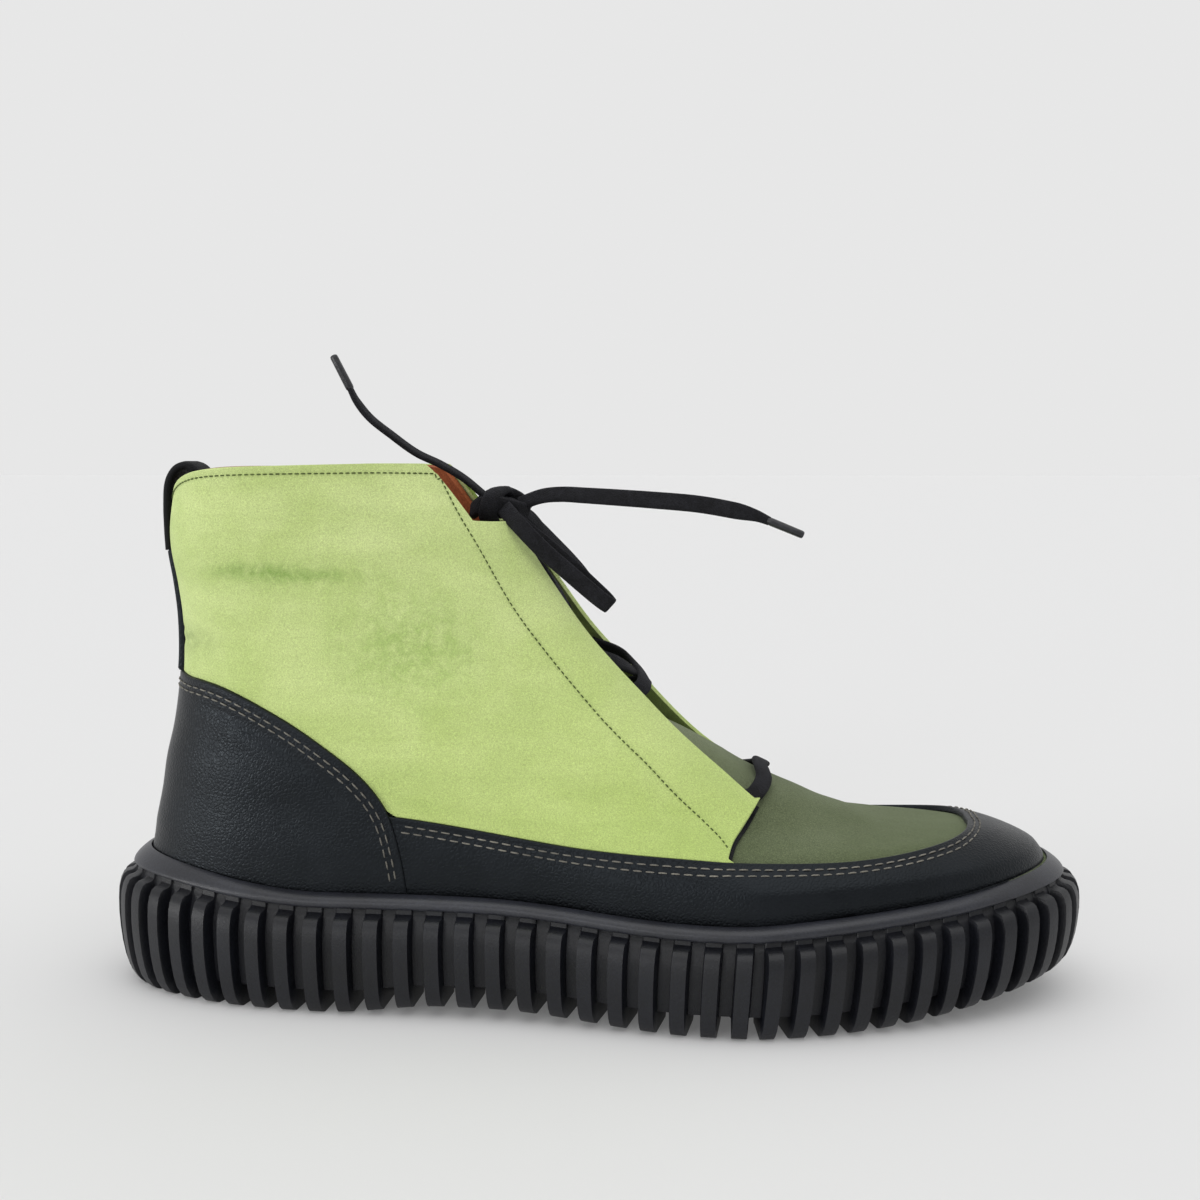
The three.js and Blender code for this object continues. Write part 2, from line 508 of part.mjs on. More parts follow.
// A flat strip that follows a path. across holds the way its width points at each end or place.
function strap(path, across, width, thickness, pieces) {
  const line = new THREE.CatmullRomCurve3(path.map((p) => new THREE.Vector3(...p)));
  const facing = new THREE.CatmullRomCurve3(across.map((p) => new THREE.Vector3(...p)));
  const [w, h] = [width / 2, thickness / 2];
  const section = [[w, 0], [w - h * 0.7, h], [h * 0.7 - w, h], [-w, 0], [h * 0.7 - w, -h], [w - h * 0.7, -h]];
  const rows = range(pieces + 1).map((i) => {
    const at = line.getPoint(i / pieces);
    const way = line.getTangent(i / pieces);
    const side = facing.getPoint(i / pieces);
    side.addScaledVector(way, -side.dot(way)).normalize();
    const up = side.clone().cross(way);
    return section.map(([a, b]) => at.clone().addScaledVector(side, a).addScaledVector(up, b));
  });
  return solidFromRows(rows);
}

// Backstay over the back seam, and the pull loop above it.
function makeBackstay() {
  const band = layer(GAP, GAP + BACKSTAY_THICKNESS, LEVELS.filter((s) => s >= 6));
  const height = BACKSTAY_TOP - BACKSTAY_FOOT;
  return band.intersect(boxAt([60, BACKSTAY_WIDTH, height], [-UPPER_LENGTH / 2, 0, BACKSTAY_FOOT + height / 2]));
}
const LOOP_PATH = [
  [-129.1, 0, 129.3],
  [-129.4, 0, 135],
  [-129.5, 0, 143],
  [-128.9, 0, 149.5],
  [-126.6, 0, 153.4],
  [-123.4, 0, 154.4],
  [-120.6, 0, 152.4],
  [-119.4, 0, 147],
  [-119.6, 0, 140],
  [-120.2, 0, 134],
];
const makePullLoop = () => strap(LOOP_PATH, [[0, 1, 0], [0, 1, 0]], LOOP_WIDTH, LOOP_THICKNESS, 16);

// Lace across the tongue: a point at a width from the middle, a ring and a height off the leather.
function laceOver(stations, pieces) {
  const places = stations.map(([width, s, height]) => {
    const turn = turnAtWidth(s, Math.abs(width), Math.sign(width) || 1);
    return { at: offsetPoint(turn, s, height), upward: surface(turn, s + 0.2).sub(surface(turn, s - 0.2)) };
  });
  const path = places.map((p) => p.at.toArray());
  return strap(path, places.map((p) => p.upward.toArray()), LACE_WIDTH, LACE_THICKNESS, pieces);
}
function makeLaceBar() {
  const half = [[27, 5.85, 0.15], [22.5, 5.9, 0.35], [18.2, 6.13, 0.5], [12, 6.43, 0.7], [6, 6.65, 0.8]];
  const stations = [...half.map(([w, s, h]) => [-w, s, h]), [0, 6.73, 0.8], ...half.reverse()];
  return laceOver(stations, 16);
}
function makeLaceCross(low, high, height, under) {
  const reach = (s) => facingGap(throatShare(s)) + 2.5;
  const strand = (side) => {
    const rise = (t) => mix(low, high, t);
    const stations = [
      [-side * reach(low), low, under],
      [-side * reach(low) * 0.5, rise(0.25), height],
      [side * 0.01, rise(0.5), height],
      [side * reach(high) * 0.5, rise(0.75), height],
      [side * reach(high), high, under],
    ];
    return laceOver(stations, 7);
  };
  return strand(-1).add(strand(1));
}

// Knot, loops and ends of the bow. Their routes are chosen by hand.
const KNOT = { x: -29.6, y: 0, z: 142, length: 15, width: 11, height: 8 };
const LACE_END_UP = [
  [-34, -2, 145.5],
  [-40, -4, 150.7],
  [-46.2, -6, 154.6],
  [-53.4, -8, 158.2],
  [-60.5, -9, 163.4],
  [-66.5, -10, 168.3],
  [-70.5, -10, 173.3],
  [-72.4, -10, 177],
];
const LACE_END_RIGHT = [
  [-24, -1, 143],
  [-17.2, -2, 145.4],
  [-11, -3, 146],
  [-4.4, -4, 145.7],
  [5.6, -5, 145.1],
  [16, -6, 144.4],
  [29, -7, 143.3],
  [39.1, -8, 141.6],
  [45.9, -8, 140],
  [49.8, -8, 138.4],
];
const LOOP_OUTER = [
  [-27.5, -7.5, 142],
  [-22, -13.8, 137],
  [-15, -13.8, 129.8],
  [-8, -13, 123.6],
  [-1, -12.6, 117.6],
  [2.4, -12.2, 114.9],
  [3.9, -10.5, 113.8],
  [2.6, -8.8, 115.2],
  [-1, -8.4, 118.6],
  [-8, -8, 125],
  [-15, -7, 130.8],
  [-21, -5.6, 135.4],
  [-25.2, -4, 139],
];
const LOOP_INNER = [
  [-29, 5, 140],
  [-23, 12.6, 139.4],
  [-17, 16, 131.5],
  [-11.5, 18.4, 125],
  [-8, 18.6, 120.6],
  [-6, 17.6, 119.4],
  [-6.4, 15.4, 121.4],
  [-10, 13.4, 126],
  [-15, 11, 131.5],
  [-20, 7, 137],
  [-25, 3, 141.5],
];
const AGLET_LENGTH = 10;
const AGLET_RADIUS = 1.5;
function knotSolid(grow) {
  const ball = new THREE.SphereGeometry(0.5, 10, 8);
  ball.scale(KNOT.length + grow, KNOT.width + grow, KNOT.height + grow);
  return solidFromGeometry(ball.translate(KNOT.x, KNOT.y, KNOT.z));
}
const clearOfKnot = (solid) => solid.subtract(knotSolid(2 * GAP));
const lace = (path, across, pieces) => clearOfKnot(strap(path, across, LACE_WIDTH, LACE_THICKNESS, pieces));
function makeAglet(path) {
  const [before, last] = path.slice(-2).map((p) => new THREE.Vector3(...p));
  const way = last.clone().sub(before).normalize();
  const tube = new THREE.CylinderGeometry(AGLET_RADIUS, AGLET_RADIUS, AGLET_LENGTH, 10);
  tube.applyQuaternion(new THREE.Quaternion().setFromUnitVectors(acrossFoot, way));
  const centre = last.addScaledVector(way, AGLET_LENGTH / 2 + GAP + 0.2);
  return solidFromGeometry(tube.translate(...centre.toArray()));
}

const LOOKS = {
  olive: { color: 0x7d8a5f, roughness: 0.75 },
  lime: { color: 0xbcd27c, roughness: 0.85 },
  black_leather: { color: 0x1b1c20, roughness: 0.45 },
  rubber: { color: 0x26282b, roughness: 0.7 },
  lining: { color: 0x8a4a28, roughness: 0.8 },
  webbing: { color: 0x1a1b1e, roughness: 0.8 },
  lace: { color: 0x16171a, roughness: 0.85 },
  aglet: { color: 0x1c1c1f, roughness: 0.4 },
};
const quarters = makeQuarters();
const pieces = [
  ["outsole", makeOutsole(), LOOKS.rubber],
  ["welt", makeWelt(), LOOKS.rubber],
  ["insole", makeInsole(), LOOKS.lining],
  ["upper", makeUpper(), LOOKS.olive],
  ["tongue", makeTongue(), LOOKS.olive],
  ["quarter_outer", quarters.quarter_outer, LOOKS.lime],
  ["quarter_inner", quarters.quarter_inner, LOOKS.lime],
  ["rand", makeRand(), LOOKS.black_leather],
  ["heel_counter", makeCounter(), LOOKS.black_leather],
  ["backstay", makeBackstay(), LOOKS.black_leather],
  ["pull_loop", makePullLoop(), LOOKS.webbing],
  ["lace_bar", makeLaceBar(), LOOKS.lace],
  ["lace_cross_middle", makeLaceCross(8.05, 9, 1.1, -1.7), LOOKS.lace],
  ["lace_cross_top", makeLaceCross(9.5, 10.5, -2, -2.4), LOOKS.lace],
  ["lace_knot", knotSolid(0), LOOKS.lace],
  ["lace_loop_outer", lace(LOOP_OUTER, [[0.66, 0, 0.75], [0.66, 0, 0.75]], 20), LOOKS.lace],
  ["lace_loop_inner", lace(LOOP_INNER, [[0.2, 1, 0.5], [0.2, 1, 0.5]], 14), LOOKS.lace],
  ["lace_end_up", lace(LACE_END_UP, [[0, 1, 0.2], [0, 1, 0.2]], 10), LOOKS.lace],
  ["lace_end_right", lace(LACE_END_RIGHT, [[0, 0.6, 0.8], [0, 0.2, 1]], 12), LOOKS.lace],
  ["aglet_up", makeAglet(LACE_END_UP), LOOKS.aglet],
  ["aglet_right", makeAglet(LACE_END_RIGHT), LOOKS.aglet],
];

// The boot, moved so that the middle of its footprint is the origin.
const sole = pieces[0][1].boundingBox();
const boot = new THREE.Group();
boot.name = "ankle_boot";
boot.position.set(-(sole.min[0] + sole.max[0]) / 2, -(sole.min[1] + sole.max[1]) / 2, -sole.min[2]);
for (const [name, solid, look] of pieces) {
  const mesh = new THREE.Mesh(geometryFrom(solid), new THREE.MeshStandardMaterial({ ...look, metalness: 0 }));
  mesh.name = name;
  boot.add(mesh);
}

export default boot;
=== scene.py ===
# %% [markdown]
# An ankle boot for the right foot, seen from its outer side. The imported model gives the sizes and
# the places, and every piece below is drawn in the same frame: metres, toe along +X, inner side +Y.
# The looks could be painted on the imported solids, but leather shows rounded cut edges, seams and
# soft hollows, so each panel is drawn again here as a finer mesh over the solid it stands for.

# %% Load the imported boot
import math
import bpy
import numpy as np
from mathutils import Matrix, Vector


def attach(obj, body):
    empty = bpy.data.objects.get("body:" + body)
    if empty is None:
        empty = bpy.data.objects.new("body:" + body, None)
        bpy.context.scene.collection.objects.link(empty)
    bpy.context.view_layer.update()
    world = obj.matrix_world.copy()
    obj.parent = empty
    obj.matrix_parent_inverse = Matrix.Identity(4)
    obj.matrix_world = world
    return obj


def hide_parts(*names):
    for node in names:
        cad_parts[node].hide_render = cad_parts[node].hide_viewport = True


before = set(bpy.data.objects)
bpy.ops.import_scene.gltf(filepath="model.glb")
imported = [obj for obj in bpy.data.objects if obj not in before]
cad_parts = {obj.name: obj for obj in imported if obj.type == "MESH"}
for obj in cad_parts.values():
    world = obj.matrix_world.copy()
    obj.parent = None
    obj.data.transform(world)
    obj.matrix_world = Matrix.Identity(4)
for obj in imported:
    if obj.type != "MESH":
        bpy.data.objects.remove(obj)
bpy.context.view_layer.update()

# %% [markdown]
# The camera stands where the photographer's stood: level with the collar, a little towards the toe
# and half a metre away, tipped down by five degrees. The lens follows from the photo's perspective.

# %% Camera
FRAME_PIXELS = 1200
FOCAL_PIXELS = 1586
HORIZON_ROW = 467
CAMERA_DISTANCE = 0.470
CAMERA_HEIGHT = 0.154
CAMERA_TURN = math.radians(5)
SHIFT = np.array([2.319, -0.689, 0.0])  # millimetres from the last's own zero to the footprint's middle

camera_data = bpy.data.cameras.new("camera")
camera_data.sensor_width = 36
camera_data.lens = FOCAL_PIXELS / FRAME_PIXELS * camera_data.sensor_width
camera_data.clip_start = 0.01
camera = bpy.data.objects.new("camera", camera_data)
camera.location = (
    math.sin(CAMERA_TURN) * CAMERA_DISTANCE + SHIFT[0] / 1000,
    -math.cos(CAMERA_TURN) * CAMERA_DISTANCE + SHIFT[1] / 1000,
    CAMERA_HEIGHT,
)
tip = math.atan((FRAME_PIXELS / 2 - HORIZON_ROW) / FOCAL_PIXELS)
camera.rotation_euler = (math.pi / 2 - tip, 0, CAMERA_TURN)
bpy.context.collection.objects.link(camera)
bpy.context.scene.camera = camera
print("lens", round(camera_data.lens, 2), "tipped down by", round(math.degrees(tip), 2), "degrees")

# %% [markdown]
# Two small helpers make every piece. One turns points in millimetres into a mesh object that rides
# with the boot and stands for its node. The other lays a flat ribbon along a path. A curve with a
# bevel could do the ribbon, but a mesh of rows keeps its flat section from twisting.

# %% A mesh piece in the boot's frame
def make_piece(name, points, faces, material, slot, nodes=(), sharp=50):
    mesh = bpy.data.meshes.new(name)
    mesh.from_pydata(((np.asarray(points, float) + SHIFT) / 1000).tolist(), [], faces)
    mesh.validate()
    mesh.polygons.foreach_set("use_smooth", [True] * len(mesh.polygons))
    mesh.set_sharp_from_angle(angle=math.radians(sharp))
    mesh.materials.append(material)
    piece = bpy.data.objects.new(name, mesh)
    bpy.context.collection.objects.link(piece)
    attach(piece, "root")
    if nodes:
        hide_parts(*nodes)
    print(name, len(mesh.vertices), "points")
    return piece


# %% Rows of points joined into a closed skin
def tube_faces(rows, columns, close_rows=False):
    faces = []
    for r in range(rows if close_rows else rows - 1):
        here, ahead = r * columns, (r + 1) % rows * columns
        for c in range(columns):
            beside = (c + 1) % columns
            faces.append((here + c, here + beside, ahead + beside, ahead + c))
    if not close_rows:
        faces.append(tuple(reversed(range(columns))))
        faces.append(tuple(range((rows - 1) * columns, rows * columns)))
    return faces


def tube(rows, close_rows=False):
    return np.concatenate(rows), tube_faces(len(rows), len(rows[0]), close_rows)


# %% A smooth curve through values, as the part's own source draws it
def curve(pairs):
    at, value = np.array(pairs, float).T
    before = np.maximum(np.arange(len(at)) - 1, 0)
    after = np.minimum(np.arange(len(at)) + 1, len(at) - 1)
    slope = (value[after] - value[before]) / (at[after] - at[before])

    def evaluate(v):
        v = np.clip(np.asarray(v, float), at[0], at[-1])
        i = np.clip(np.searchsorted(at, v, side="right") - 1, 0, len(at) - 2)
        span = at[i + 1] - at[i]
        t = (v - at[i]) / span
        start = value[i] * (2 * t**3 - 3 * t**2 + 1) + slope[i] * span * (t**3 - 2 * t**2 + t)
        return start + value[i + 1] * (3 * t**2 - 2 * t**3) + slope[i + 1] * span * (t**3 - t**2)

    return evaluate


def smooth(a, b, v):
    t = np.clip((np.asarray(v, float) - a) / (b - a), 0, 1)
    return t * t * (3 - 2 * t)


def mix(a, b, t):
    return a + (b - a) * t


def unit(v):
    return v / np.maximum(np.linalg.norm(v, axis=-1, keepdims=True), 1e-9)


# %% Points evenly spaced along a smooth path
def run_along(points):
    """The length from the first point of a line to each of its points."""
    return np.concatenate([[0], np.cumsum(np.linalg.norm(np.diff(points, axis=0), axis=1))])


def along_path(points, count):
    points = np.asarray(points, float)
    run = run_along(points)
    through = [curve(np.stack([run, points[:, k]], -1)) for k in range(points.shape[1])]
    fine = np.stack([f(np.linspace(0, run[-1], 600)) for f in through], -1)
    length = run_along(fine)
    even = np.linspace(0, length[-1], count)
    return np.stack([np.interp(even, length, fine[:, k]) for k in range(points.shape[1])], -1), length[-1]


# %% A flat ribbon with soft edges
def ribbon(path, across, width, thickness, count, taper=None):
    line, length = along_path(path, count)
    way = unit(np.gradient(line, axis=0))
    side, _ = along_path(across, count) if len(across) > 2 else (
        np.linspace(across[0], across[1], count), 0)
    side = unit(side - way * np.sum(side * way, -1, keepdims=True))
    up = np.cross(side, way)
    turns = np.linspace(0, 2 * np.pi, 14, endpoint=False)
    wide = np.sign(np.cos(turns)) * np.abs(np.cos(turns)) ** 0.45 * width / 2
    thick = np.sign(np.sin(turns)) * np.abs(np.sin(turns)) ** 0.8 * thickness / 2
    share = np.ones(count) if taper is None else taper(np.linspace(0, 1, count))
    rows = (line[:, None] + side[:, None] * (wide[None, :, None] * share[:, None, None])
            + up[:, None] * thick[None, :, None])
    return rows.reshape(-1, 3), tube_faces(count, len(turns)), line, length


# %% [markdown]
# A material here is a Principled shader with its colour, roughness and bump from noise in the
# object's own metres, so it lies the same on every panel and needs no unwrapping. Image textures
# would look right from one side only, and the boot is seen from all of them.

# %% A small kit for finishes
def new_finish(name, roughness, specular=0.5, sheen=0.0, sheen_tint=(1, 1, 1, 1), sheen_roughness=0.5):
    material = bpy.data.materials.new(name)
    material.use_nodes = True
    tree = material.node_tree
    shader = tree.nodes["Principled BSDF"]
    shader.inputs["Roughness"].default_value = roughness
    shader.inputs["Specular IOR Level"].default_value = specular
    shader.inputs["Sheen Weight"].default_value = sheen
    shader.inputs["Sheen Roughness"].default_value = sheen_roughness
    shader.inputs["Sheen Tint"].default_value = sheen_tint
    where = tree.nodes.new("ShaderNodeTexCoord").outputs["Object"]
    return material, tree, shader, where


def linear(*shades):
    """A screen colour of 0 to 255 as the linear light that a shader works in."""
    return tuple(((c / 255 + 0.055) / 1.055) ** 2.4 if c > 10 else c / 255 / 12.92 for c in shades) + (1,)


def grey(value):
    return (value, value, value, 1)


def add_noise(tree, where, scale, detail=4, roughness=0.55, distortion=0.0):
    node = tree.nodes.new("ShaderNodeTexNoise")
    node.inputs["Scale"].default_value = scale
    node.inputs["Detail"].default_value = detail
    node.inputs["Roughness"].default_value = roughness
    node.inputs["Distortion"].default_value = distortion
    tree.links.new(where, node.inputs["Vector"])
    return node.outputs["Fac"]


def add_ramp(tree, value, stops):
    node = tree.nodes.new("ShaderNodeValToRGB")
    ramp = node.color_ramp
    while len(ramp.elements) < len(stops):
        ramp.elements.new(0.5)
    for element, (place, colour) in zip(ramp.elements, stops):
        element.position = place
        element.color = colour if len(colour) == 4 else (*colour, 1)
    tree.links.new(value, node.inputs["Fac"])
    return node.outputs["Color"]


def add_math(tree, operation, a, b, clamp=False):
    node = tree.nodes.new("ShaderNodeMath")
    node.operation = operation
    node.use_clamp = clamp
    for socket, value in zip(node.inputs, (a, b)):
        if isinstance(value, (int, float)):
            socket.default_value = value
        else:
            tree.links.new(value, socket)
    return node.outputs[0]


def add_fade(tree, value, start, end):
    """Nought at the start value, one at the end value and beyond it."""
    node = tree.nodes.new("ShaderNodeMapRange")
    node.inputs["From Min"].default_value = start
    node.inputs["From Max"].default_value = end
    tree.links.new(value, node.inputs["Value"])
    return node.outputs[0]


def add_mix(tree, factor, a, b, blend="MIX"):
    node = tree.nodes.new("ShaderNodeMix")
    node.data_type = "RGBA"
    node.blend_type = blend
    for socket, value in zip((node.inputs[0], node.inputs[6], node.inputs[7]), (factor, a, b)):
        if isinstance(value, (int, float, tuple)):
            socket.default_value = value
        else:
            tree.links.new(value, socket)
    return node.outputs[2]


def add_bump(tree, shader, layers):
    normal = None
    for height, distance in layers:
        node = tree.nodes.new("ShaderNodeBump")
        node.inputs["Distance"].default_value = distance
        node.inputs["Strength"].default_value = 1
        tree.links.new(height, node.inputs["Height"])
        if normal is not None:
            tree.links.new(normal, node.inputs["Normal"])
        normal = node.outputs["Normal"]
    tree.links.new(normal, shader.inputs["Normal"])


def add_colour(tree, shader, value, stops):
    tree.links.new(add_ramp(tree, value, stops), shader.inputs["Base Color"])


def add_patch(tree, where, centre, radii, turn_y):
    """One inside a soft egg-shaped patch round a point of the boot, nought outside it."""
    node = tree.nodes.new("ShaderNodeMapping")
    node.vector_type = "TEXTURE"
    node.inputs["Location"].default_value = centre
    node.inputs["Rotation"].default_value = (0, turn_y, 0)
    node.inputs["Scale"].default_value = radii
    tree.links.new(where, node.inputs["Vector"])
    ball = tree.nodes.new("ShaderNodeTexGradient")
    ball.gradient_type = "SPHERICAL"
    tree.links.new(node.outputs[0], ball.inputs["Vector"])
    return ball.outputs["Fac"]


# %% [markdown]
# The lace is a flat black braid, 5 mm wide, with a matt hand. Its weave is too fine to model as
# yarns at this distance, so a fine grain in colour and bump stands for it.

# %% Lace and aglet finishes
lace_finish, tree, shader, where = new_finish("lace_braid", 0.85, 0.25, 0.25, linear(90, 92, 100), 0.4)
weave = add_noise(tree, where, 2600, 2)
broad = add_noise(tree, where, 320, 3)
tone = add_math(tree, "MULTIPLY", weave, broad)
add_colour(tree, shader, tone, [(0.15, linear(13, 13, 16)), (0.42, linear(34, 34, 39))])
add_bump(tree, shader, [(weave, 0.0006)])

aglet_finish, tree, shader, where = new_finish("aglet_film", 0.35, 0.5)
rub = add_noise(tree, where, 900, 3)
add_colour(tree, shader, rub, [(0.3, linear(18, 18, 21)), (0.7, linear(38, 39, 44))])
add_bump(tree, shader, [(rub, 0.0001)])

# %% [markdown]
# The bow is tied above the tongue. Two ends stand out stiffly, as new flat lace does, and two loops
# hang over the facings. Each is a ribbon along the route of its solid, and the knot is three short
# turns of a slightly wider ribbon round a plain core. The lengths are read from the photo, but the
# inner loop's is a guess.

# %% Routes of the bow, in millimetres
LACE_WIDTH = 5.0
LACE_THICKNESS = 1.6
LACE_END_UP = [(-34, -2, 145.5), (-40, -4, 150.7), (-46.2, -6, 154.6), (-53.4, -8, 158.2),
               (-60.5, -9, 163.4), (-66.5, -10, 168.3), (-70.5, -10, 173.3), (-72.4, -10, 177)]
LACE_END_RIGHT = [(-24, -1, 143), (-17.2, -2, 145.4), (-11, -3, 146), (-4.4, -4, 145.7),
                  (5.6, -5, 145.1), (16, -6, 144.4), (29, -7, 143.3), (39.1, -8, 141.6),
                  (45.9, -8, 140), (49.8, -8, 138.4)]
LOOP_OUTER = [(-27.5, -7.5, 142), (-22, -13.8, 137), (-15, -13.8, 129.8), (-8, -13, 123.6),
              (-1, -12.6, 117.6), (2.4, -12.2, 114.9), (3.9, -10.5, 113.8), (2.6, -8.8, 115.2),
              (-1, -8.4, 118.6), (-8, -8, 125), (-15, -7, 130.8), (-21, -5.6, 135.4), (-25.2, -4, 139)]
LOOP_INNER = [(-29, 5, 140), (-23, 12.6, 139.4), (-17, 16, 131.5), (-11.5, 18.4, 125), (-8, 18.6, 120.6),
              (-6, 17.6, 119.4), (-6.4, 15.4, 121.4), (-10, 13.4, 126), (-15, 11, 131.5), (-20, 7, 137),
              (-25, 3, 141.5)]
ALONG_KNOT = [(0.1, 0.3, 0.95), (0.1, -0.3, 0.95)]
ROUND_KNOT = [(1, 0.2, 0.1), (1, 0.2, 0.1)]
KNOT_TURNS = [
    # route, directions across the ribbon at its two ends
    ([(-37.5, -1.5, 141.2), (-34.8, -5.4, 142.6), (-30, -6.2, 142.8), (-25, -5, 141.6), (-21.8, -1, 140.6)],
     ALONG_KNOT),
    ([(-32.2, -3, 137.6), (-32.4, -7, 140.4), (-31.2, -6.2, 145), (-29.4, 0, 147), (-28, 5.4, 144),
      (-27.8, 5.6, 139)], ROUND_KNOT),
    ([(-37, 3, 140.6), (-34, 3.6, 144.2), (-29.5, 3.2, 145.6), (-25, 3.4, 144), (-22.4, 3, 140.8)],
     ALONG_KNOT),
]
KNOT_CENTRE = (-29.6, 0, 142)
KNOT_RADII = (6.6, 4.6, 3.4)


# %% The knot and the aglets
def join_parts(parts):
    points, faces = [], []
    for part_points, part_faces in parts:
        start = sum(len(p) for p in points)
        points.append(np.asarray(part_points))
        faces += [tuple(start + i for i in face) for face in part_faces]
    return np.concatenate(points), faces


knot_parts = [ribbon(route, across, LACE_WIDTH * 1.1, LACE_THICKNESS * 1.6, 30)[:2]
              for route, across in KNOT_TURNS]
core = []
angles = np.linspace(0, 2 * np.pi, 16, endpoint=False)
for at in np.linspace(-0.98, 0.98, 12):
    size = math.sqrt(1 - at * at)
    core.append(np.stack([np.full(16, KNOT_CENTRE[0] + KNOT_RADII[0] * at),
                          KNOT_RADII[1] * size * np.cos(angles),
                          KNOT_CENTRE[2] + KNOT_RADII[2] * size * np.sin(angles)], -1))
knot_parts.append(tube(core))
lace_knot = make_piece("knot_of_lace", *join_parts(knot_parts), lace_finish, "lace", ["lace_knot"])

AGLET_PROFILE = [
    # place along the film from the end of the route, radius
    (-1.2, 1.1), (-0.6, 1.42), (0, 1.5), (0.6, 1.5), (5, 1.45), (9.4, 1.42), (9.9, 1.25), (10.1, 0.8),
]


def make_aglet(name, path, node):
    """A tube of clear film pressed round the lace's end, a little flatter than it is wide."""
    before, last = np.array(path[-2], float), np.array(path[-1], float)
    way = unit(last - before)
    side = unit(np.cross(way, [0, 0, 1.0]))
    up = np.cross(side, way)
    turns = np.linspace(0, 2 * np.pi, 20, endpoint=False)
    ring = np.cos(turns)[:, None] * side + np.sin(turns)[:, None] * up * 0.8
    rows = [last + way * (at + 0.5) + radius * ring for at, radius in AGLET_PROFILE]
    return make_piece(name, *tube(rows), aglet_finish, "aglet", [node])


tip_up = make_aglet("aglet_of_upper_end", LACE_END_UP, "aglet_up")
tip_right = make_aglet("aglet_of_forward_end", LACE_END_RIGHT, "aglet_right")


# %% The two ends and the two loops
def make_lace(name, path, across, node, taper=None):
    points, faces, line, length = ribbon(path, across, LACE_WIDTH, LACE_THICKNESS, 60, taper)
    piece = make_piece(name, points, faces, lace_finish, "lace", [node])
    print(name, "is", round(length, 1), "mm long")


narrow_tip = curve([(0, 1), (0.86, 1), (0.97, 0.6), (1, 0.5)])
make_lace("lace_upper_end", LACE_END_UP, [(0, 1, 0.2), (0, 1, 0.2)], "lace_end_up",
          narrow_tip)
make_lace("lace_forward_end", LACE_END_RIGHT, [(0, 0.6, 0.8), (0, 0.2, 1)], "lace_end_right",
          narrow_tip)
make_lace("lace_outer_loop", LOOP_OUTER, [(0.66, 0, 0.75), (0.66, 0, 0.75)], "lace_loop_outer")
make_lace("lace_inner_loop", LOOP_INNER, [(0.2, 1, 0.5), (0.2, 1, 0.5)], "lace_loop_inner")

# %% [markdown]
# The last is the foot-shaped form that the leather is pulled over. The part draws it as rings round
# the foot, from the cup floor up to the collar, and the same rings are repeated here. A place on the
# leather is then a turn round the foot (0 at the back seam, 0.5 over the toe) and a ring number.

# %% Sizes of the last and the sole, in millimetres
UPPER_LENGTH = 270
BALL_WIDTH = 96
COLLAR_RISE = 131
COLLAR_DIP = 9.5  # how far the top line drops at the back
SHAFT_WIDTH = 72
CUP_FLOOR_HEEL = 24.7
CUP_FLOOR_FORE = 20.8
CUP_FLOOR_TOE = 9  # and this much more at the toe tip
TOE_SPRING = 11.5
WAIST_ARCH = 2.9
WELT_SIDE_RISE = 9.6  # from the cup floor to the top of the welt
WELT_HEEL_RISE = 16.4
WELT_WAIST_RISE = 1.4
WELT_TOE_RISE = 1.2
WELT_HEIGHT = 3.8
WELT_HEEL_HEIGHT = 5
WELT_CROWN = 4
SIDE_OVERHANG = 9.5
HEEL_OVERHANG = 11.5
TOE_OVERHANG = 10.9

# %% Rings of the last
RINGS = np.array([
    # shares of the length, the collar's rise and the widths:
    # back, rise at the back, front, rise at the front, heel, waist, fore
    [0.0, 0.0, 0.985, 0.0, 0.68, 0.78, 0.98],
    [0.0, 0.12, 0.985, 0.066, 0.68, 0.78, 0.98],
    [0.005, 0.18, 0.977, 0.11, 0.69, 0.79, 0.97],
    [0.013, 0.255, 0.925, 0.167, 0.68, 0.77, 0.86],
    [0.019, 0.33, 0.865, 0.191, 0.67, 0.76, 0.78],
    [0.028, 0.405, 0.8, 0.22, 0.65, 0.75, 0.7],
    [0.034, 0.48, 0.726, 0.288, 0.63, 0.73, 0.64],
    [0.038, 0.56, 0.655, 0.364, 0.62, 0.71, 0.59],
    [0.038, 0.65, 0.573, 0.483, 0.82, 0.92, 0.72],
    [0.034, 0.73, 0.514, 0.597, 0.83, 0.92, 0.71],
    [0.028, 0.815, 0.456, 0.741, 0.85, 0.94, 0.72],
    [0.03, 0.9, 0.41, 0.866, 0.88, 0.97, 0.75],
    [0.036, 0.982, 0.35, 1.0, 0.9, 1.0, 0.79],
])
TOP = len(RINGS) - 1
ANKLE_RING = 8
half_width = np.where(np.arange(len(RINGS)) < ANKLE_RING, BALL_WIDTH, SHAFT_WIDTH) / 2
numbers = np.arange(len(RINGS))
ring_back, rise_back, ring_front, rise_front = [
    curve(np.stack([numbers, RINGS[:, k]], -1)) for k in range(4)]
ring_widths = [curve(np.stack([numbers, RINGS[:, k] * half_width], -1)) for k in (4, 5, 6)]
STATIONS = (0.15, 0.45, 0.72)  # where along the foot the heel, waist and fore widths are given


def share_of(x):
    return x / UPPER_LENGTH + 0.5


def floor_at(share):
    level = mix(CUP_FLOOR_HEEL, CUP_FLOOR_FORE, smooth(0.25, 0.62, share))
    return level + CUP_FLOOR_TOE * np.maximum(0, (share - 0.64) / 0.36) ** 1.4


